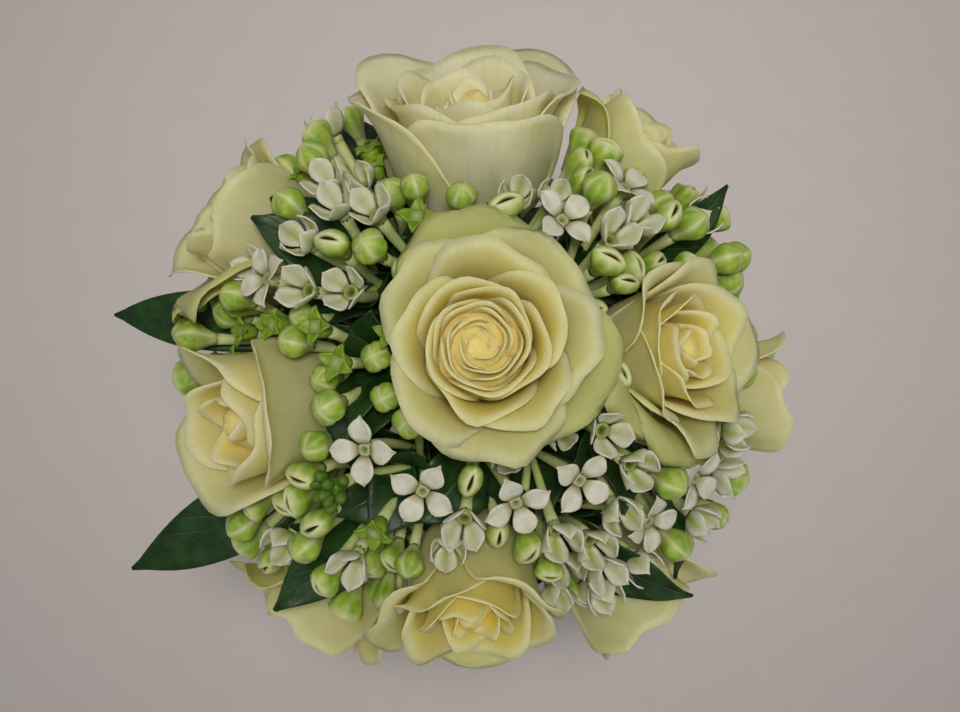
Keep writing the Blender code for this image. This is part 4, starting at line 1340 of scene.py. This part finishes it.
def makeSpray(name, index):
    rod = copied(sprayRod, "stem")
    points, back = sprayPath(index)
    every, half = sprayMake["jointEvery"], sprayMake["jointHalf"]
    bendRod(rod, smoothLine(points), lambda share: posy["sprayStemRadius"] * (
        1 + sprayMake["joint"] * np.exp(-((share % every - every / 2) / half) ** 2)))
    mark(rod, pale=0.12, deepGreen=0.35)
    cutLevel(rod)
    coat(rod, budGreen)
    paintCut(rod)
    parts = [rod]
    own = [(look, neck) for home, look, neck in zip(flowerOwners, looks, flowerNecks) if home == index]
    for k, (look, neck) in enumerate(own):
        root = points[-1] + back * (sprayMake["flowerFrom"] + posy["branching"] * k / len(own))
        parts += makeFlower(look, root, domeCentre + neck, sprayMake["flowerTurn"] * k + index, back)
    for owner, look, root, neck, size, turn in fillers:
        if owner == index:
            parts += makeFlower(look, root, neck, turn, back, size)
    for k, (owner, share, azimuth, tilt, reach, width) in enumerate(leaves):
        if owner == name:
            at = 1 + share * (len(points) - 2)
            low = min(int(at), len(points) - 2)
            root = points[low] + (at - low) * (points[low + 1] - points[low])
            parts.append(makeLeaf(root, domeCentre + direction(azimuth, tilt) * reach, width, k))
    for owner, azimuth, tilt, reach, width in broadLeaves:
        if owner == name:
            root = points[-1] + sprayMake["leafFrom"] * back
            parts.append(makeLeaf(root, domeCentre + direction(azimuth, tilt) * reach, width, tilt))
    parts += [makeLeaf(*leaf) for owner, *leaf in underLeaves if owner == index]
    settle(joined(parts, name + "_spray"), "bouvardia", name)


for index, name in enumerate(sprays):
    makeSpray(name, index)
drop(sprayRod, floretFlat, tubeRod, leafFlat, *heads.values())
print("sprays made")


# raffia wound round the stems

bindingMake = {
    "turns": 8, "perTurn": 48,
    "strandHalf": 0.0017, "flat": 0.28, "wall": 0.0007,
    "gap": 0.0007,
    "wander": 0.0009,                    # how far a turn strays up or down
    "puff": (0.6, 0.35, 3.3),            # how far it stands off, how much that varies, and how often
}


def bundleReach(extra):
    # how far the bundle of stems reaches in each direction, with its hollows spanned
    facingTo = np.arange(90) * turnFull / 90
    outward = np.stack([np.cos(facingTo), np.sin(facingTo)])
    levels = [posy["tieHeight"] + k * posy["bindingHalf"] for k in (-1, 0, 1)]
    ends = np.array([[winding(place, level)[:2] for place in tiePlaces] for level in levels])
    support = (ends @ outward + stemRadii[:, None]).max(axis=(0, 1)) + extra

    def reach(angle):
        turned = np.cos(facingTo - angle)
        return (support[turned > 0.3] / turned[turned > 0.3]).min()

    return reach


def makeBinding():
    reach = bundleReach(bindingMake["gap"])
    draw = random.Random(7)
    turns, perTurn = bindingMake["turns"], bindingMake["perTurn"]
    count = turns * perTurn
    rod = newRod("strand", 8, 2 * turns - 1, perTurn // 2 - 1)
    line, outward = [], []
    off, more, often = bindingMake["puff"]
    tall = 2 * (posy["bindingHalf"] - bindingMake["strandHalf"])
    waves = [(draw.uniform(-1, 1), draw.uniform(0, turnFull)) for _ in range(turns + 1)]
    for k in range(count + 1):
        angle = k / perTurn * turnFull
        swing, start = waves[k // perTurn]
        stray = bindingMake["wander"] * math.sin(angle + start) * math.sin(math.pi * (k % perTurn) / perTurn)
        z = posy["tieHeight"] + tall * (k / count - 0.5) + stray * swing
        r = reach(angle) + bindingMake["wall"] * (off + more * math.sin(often * angle))
        line.append((r * math.cos(angle), r * math.sin(angle), z))
        outward.append((math.cos(angle), math.sin(angle), 0))
    bendRod(rod, np.array(line), bindingMake["strandHalf"], bindingMake["flat"], np.array(outward))
    strand = joined([rod], "binding_raffia")
    coat(strand, raffia)
    settle(strand, "binding", "binding")


makeBinding()
print("binding made")
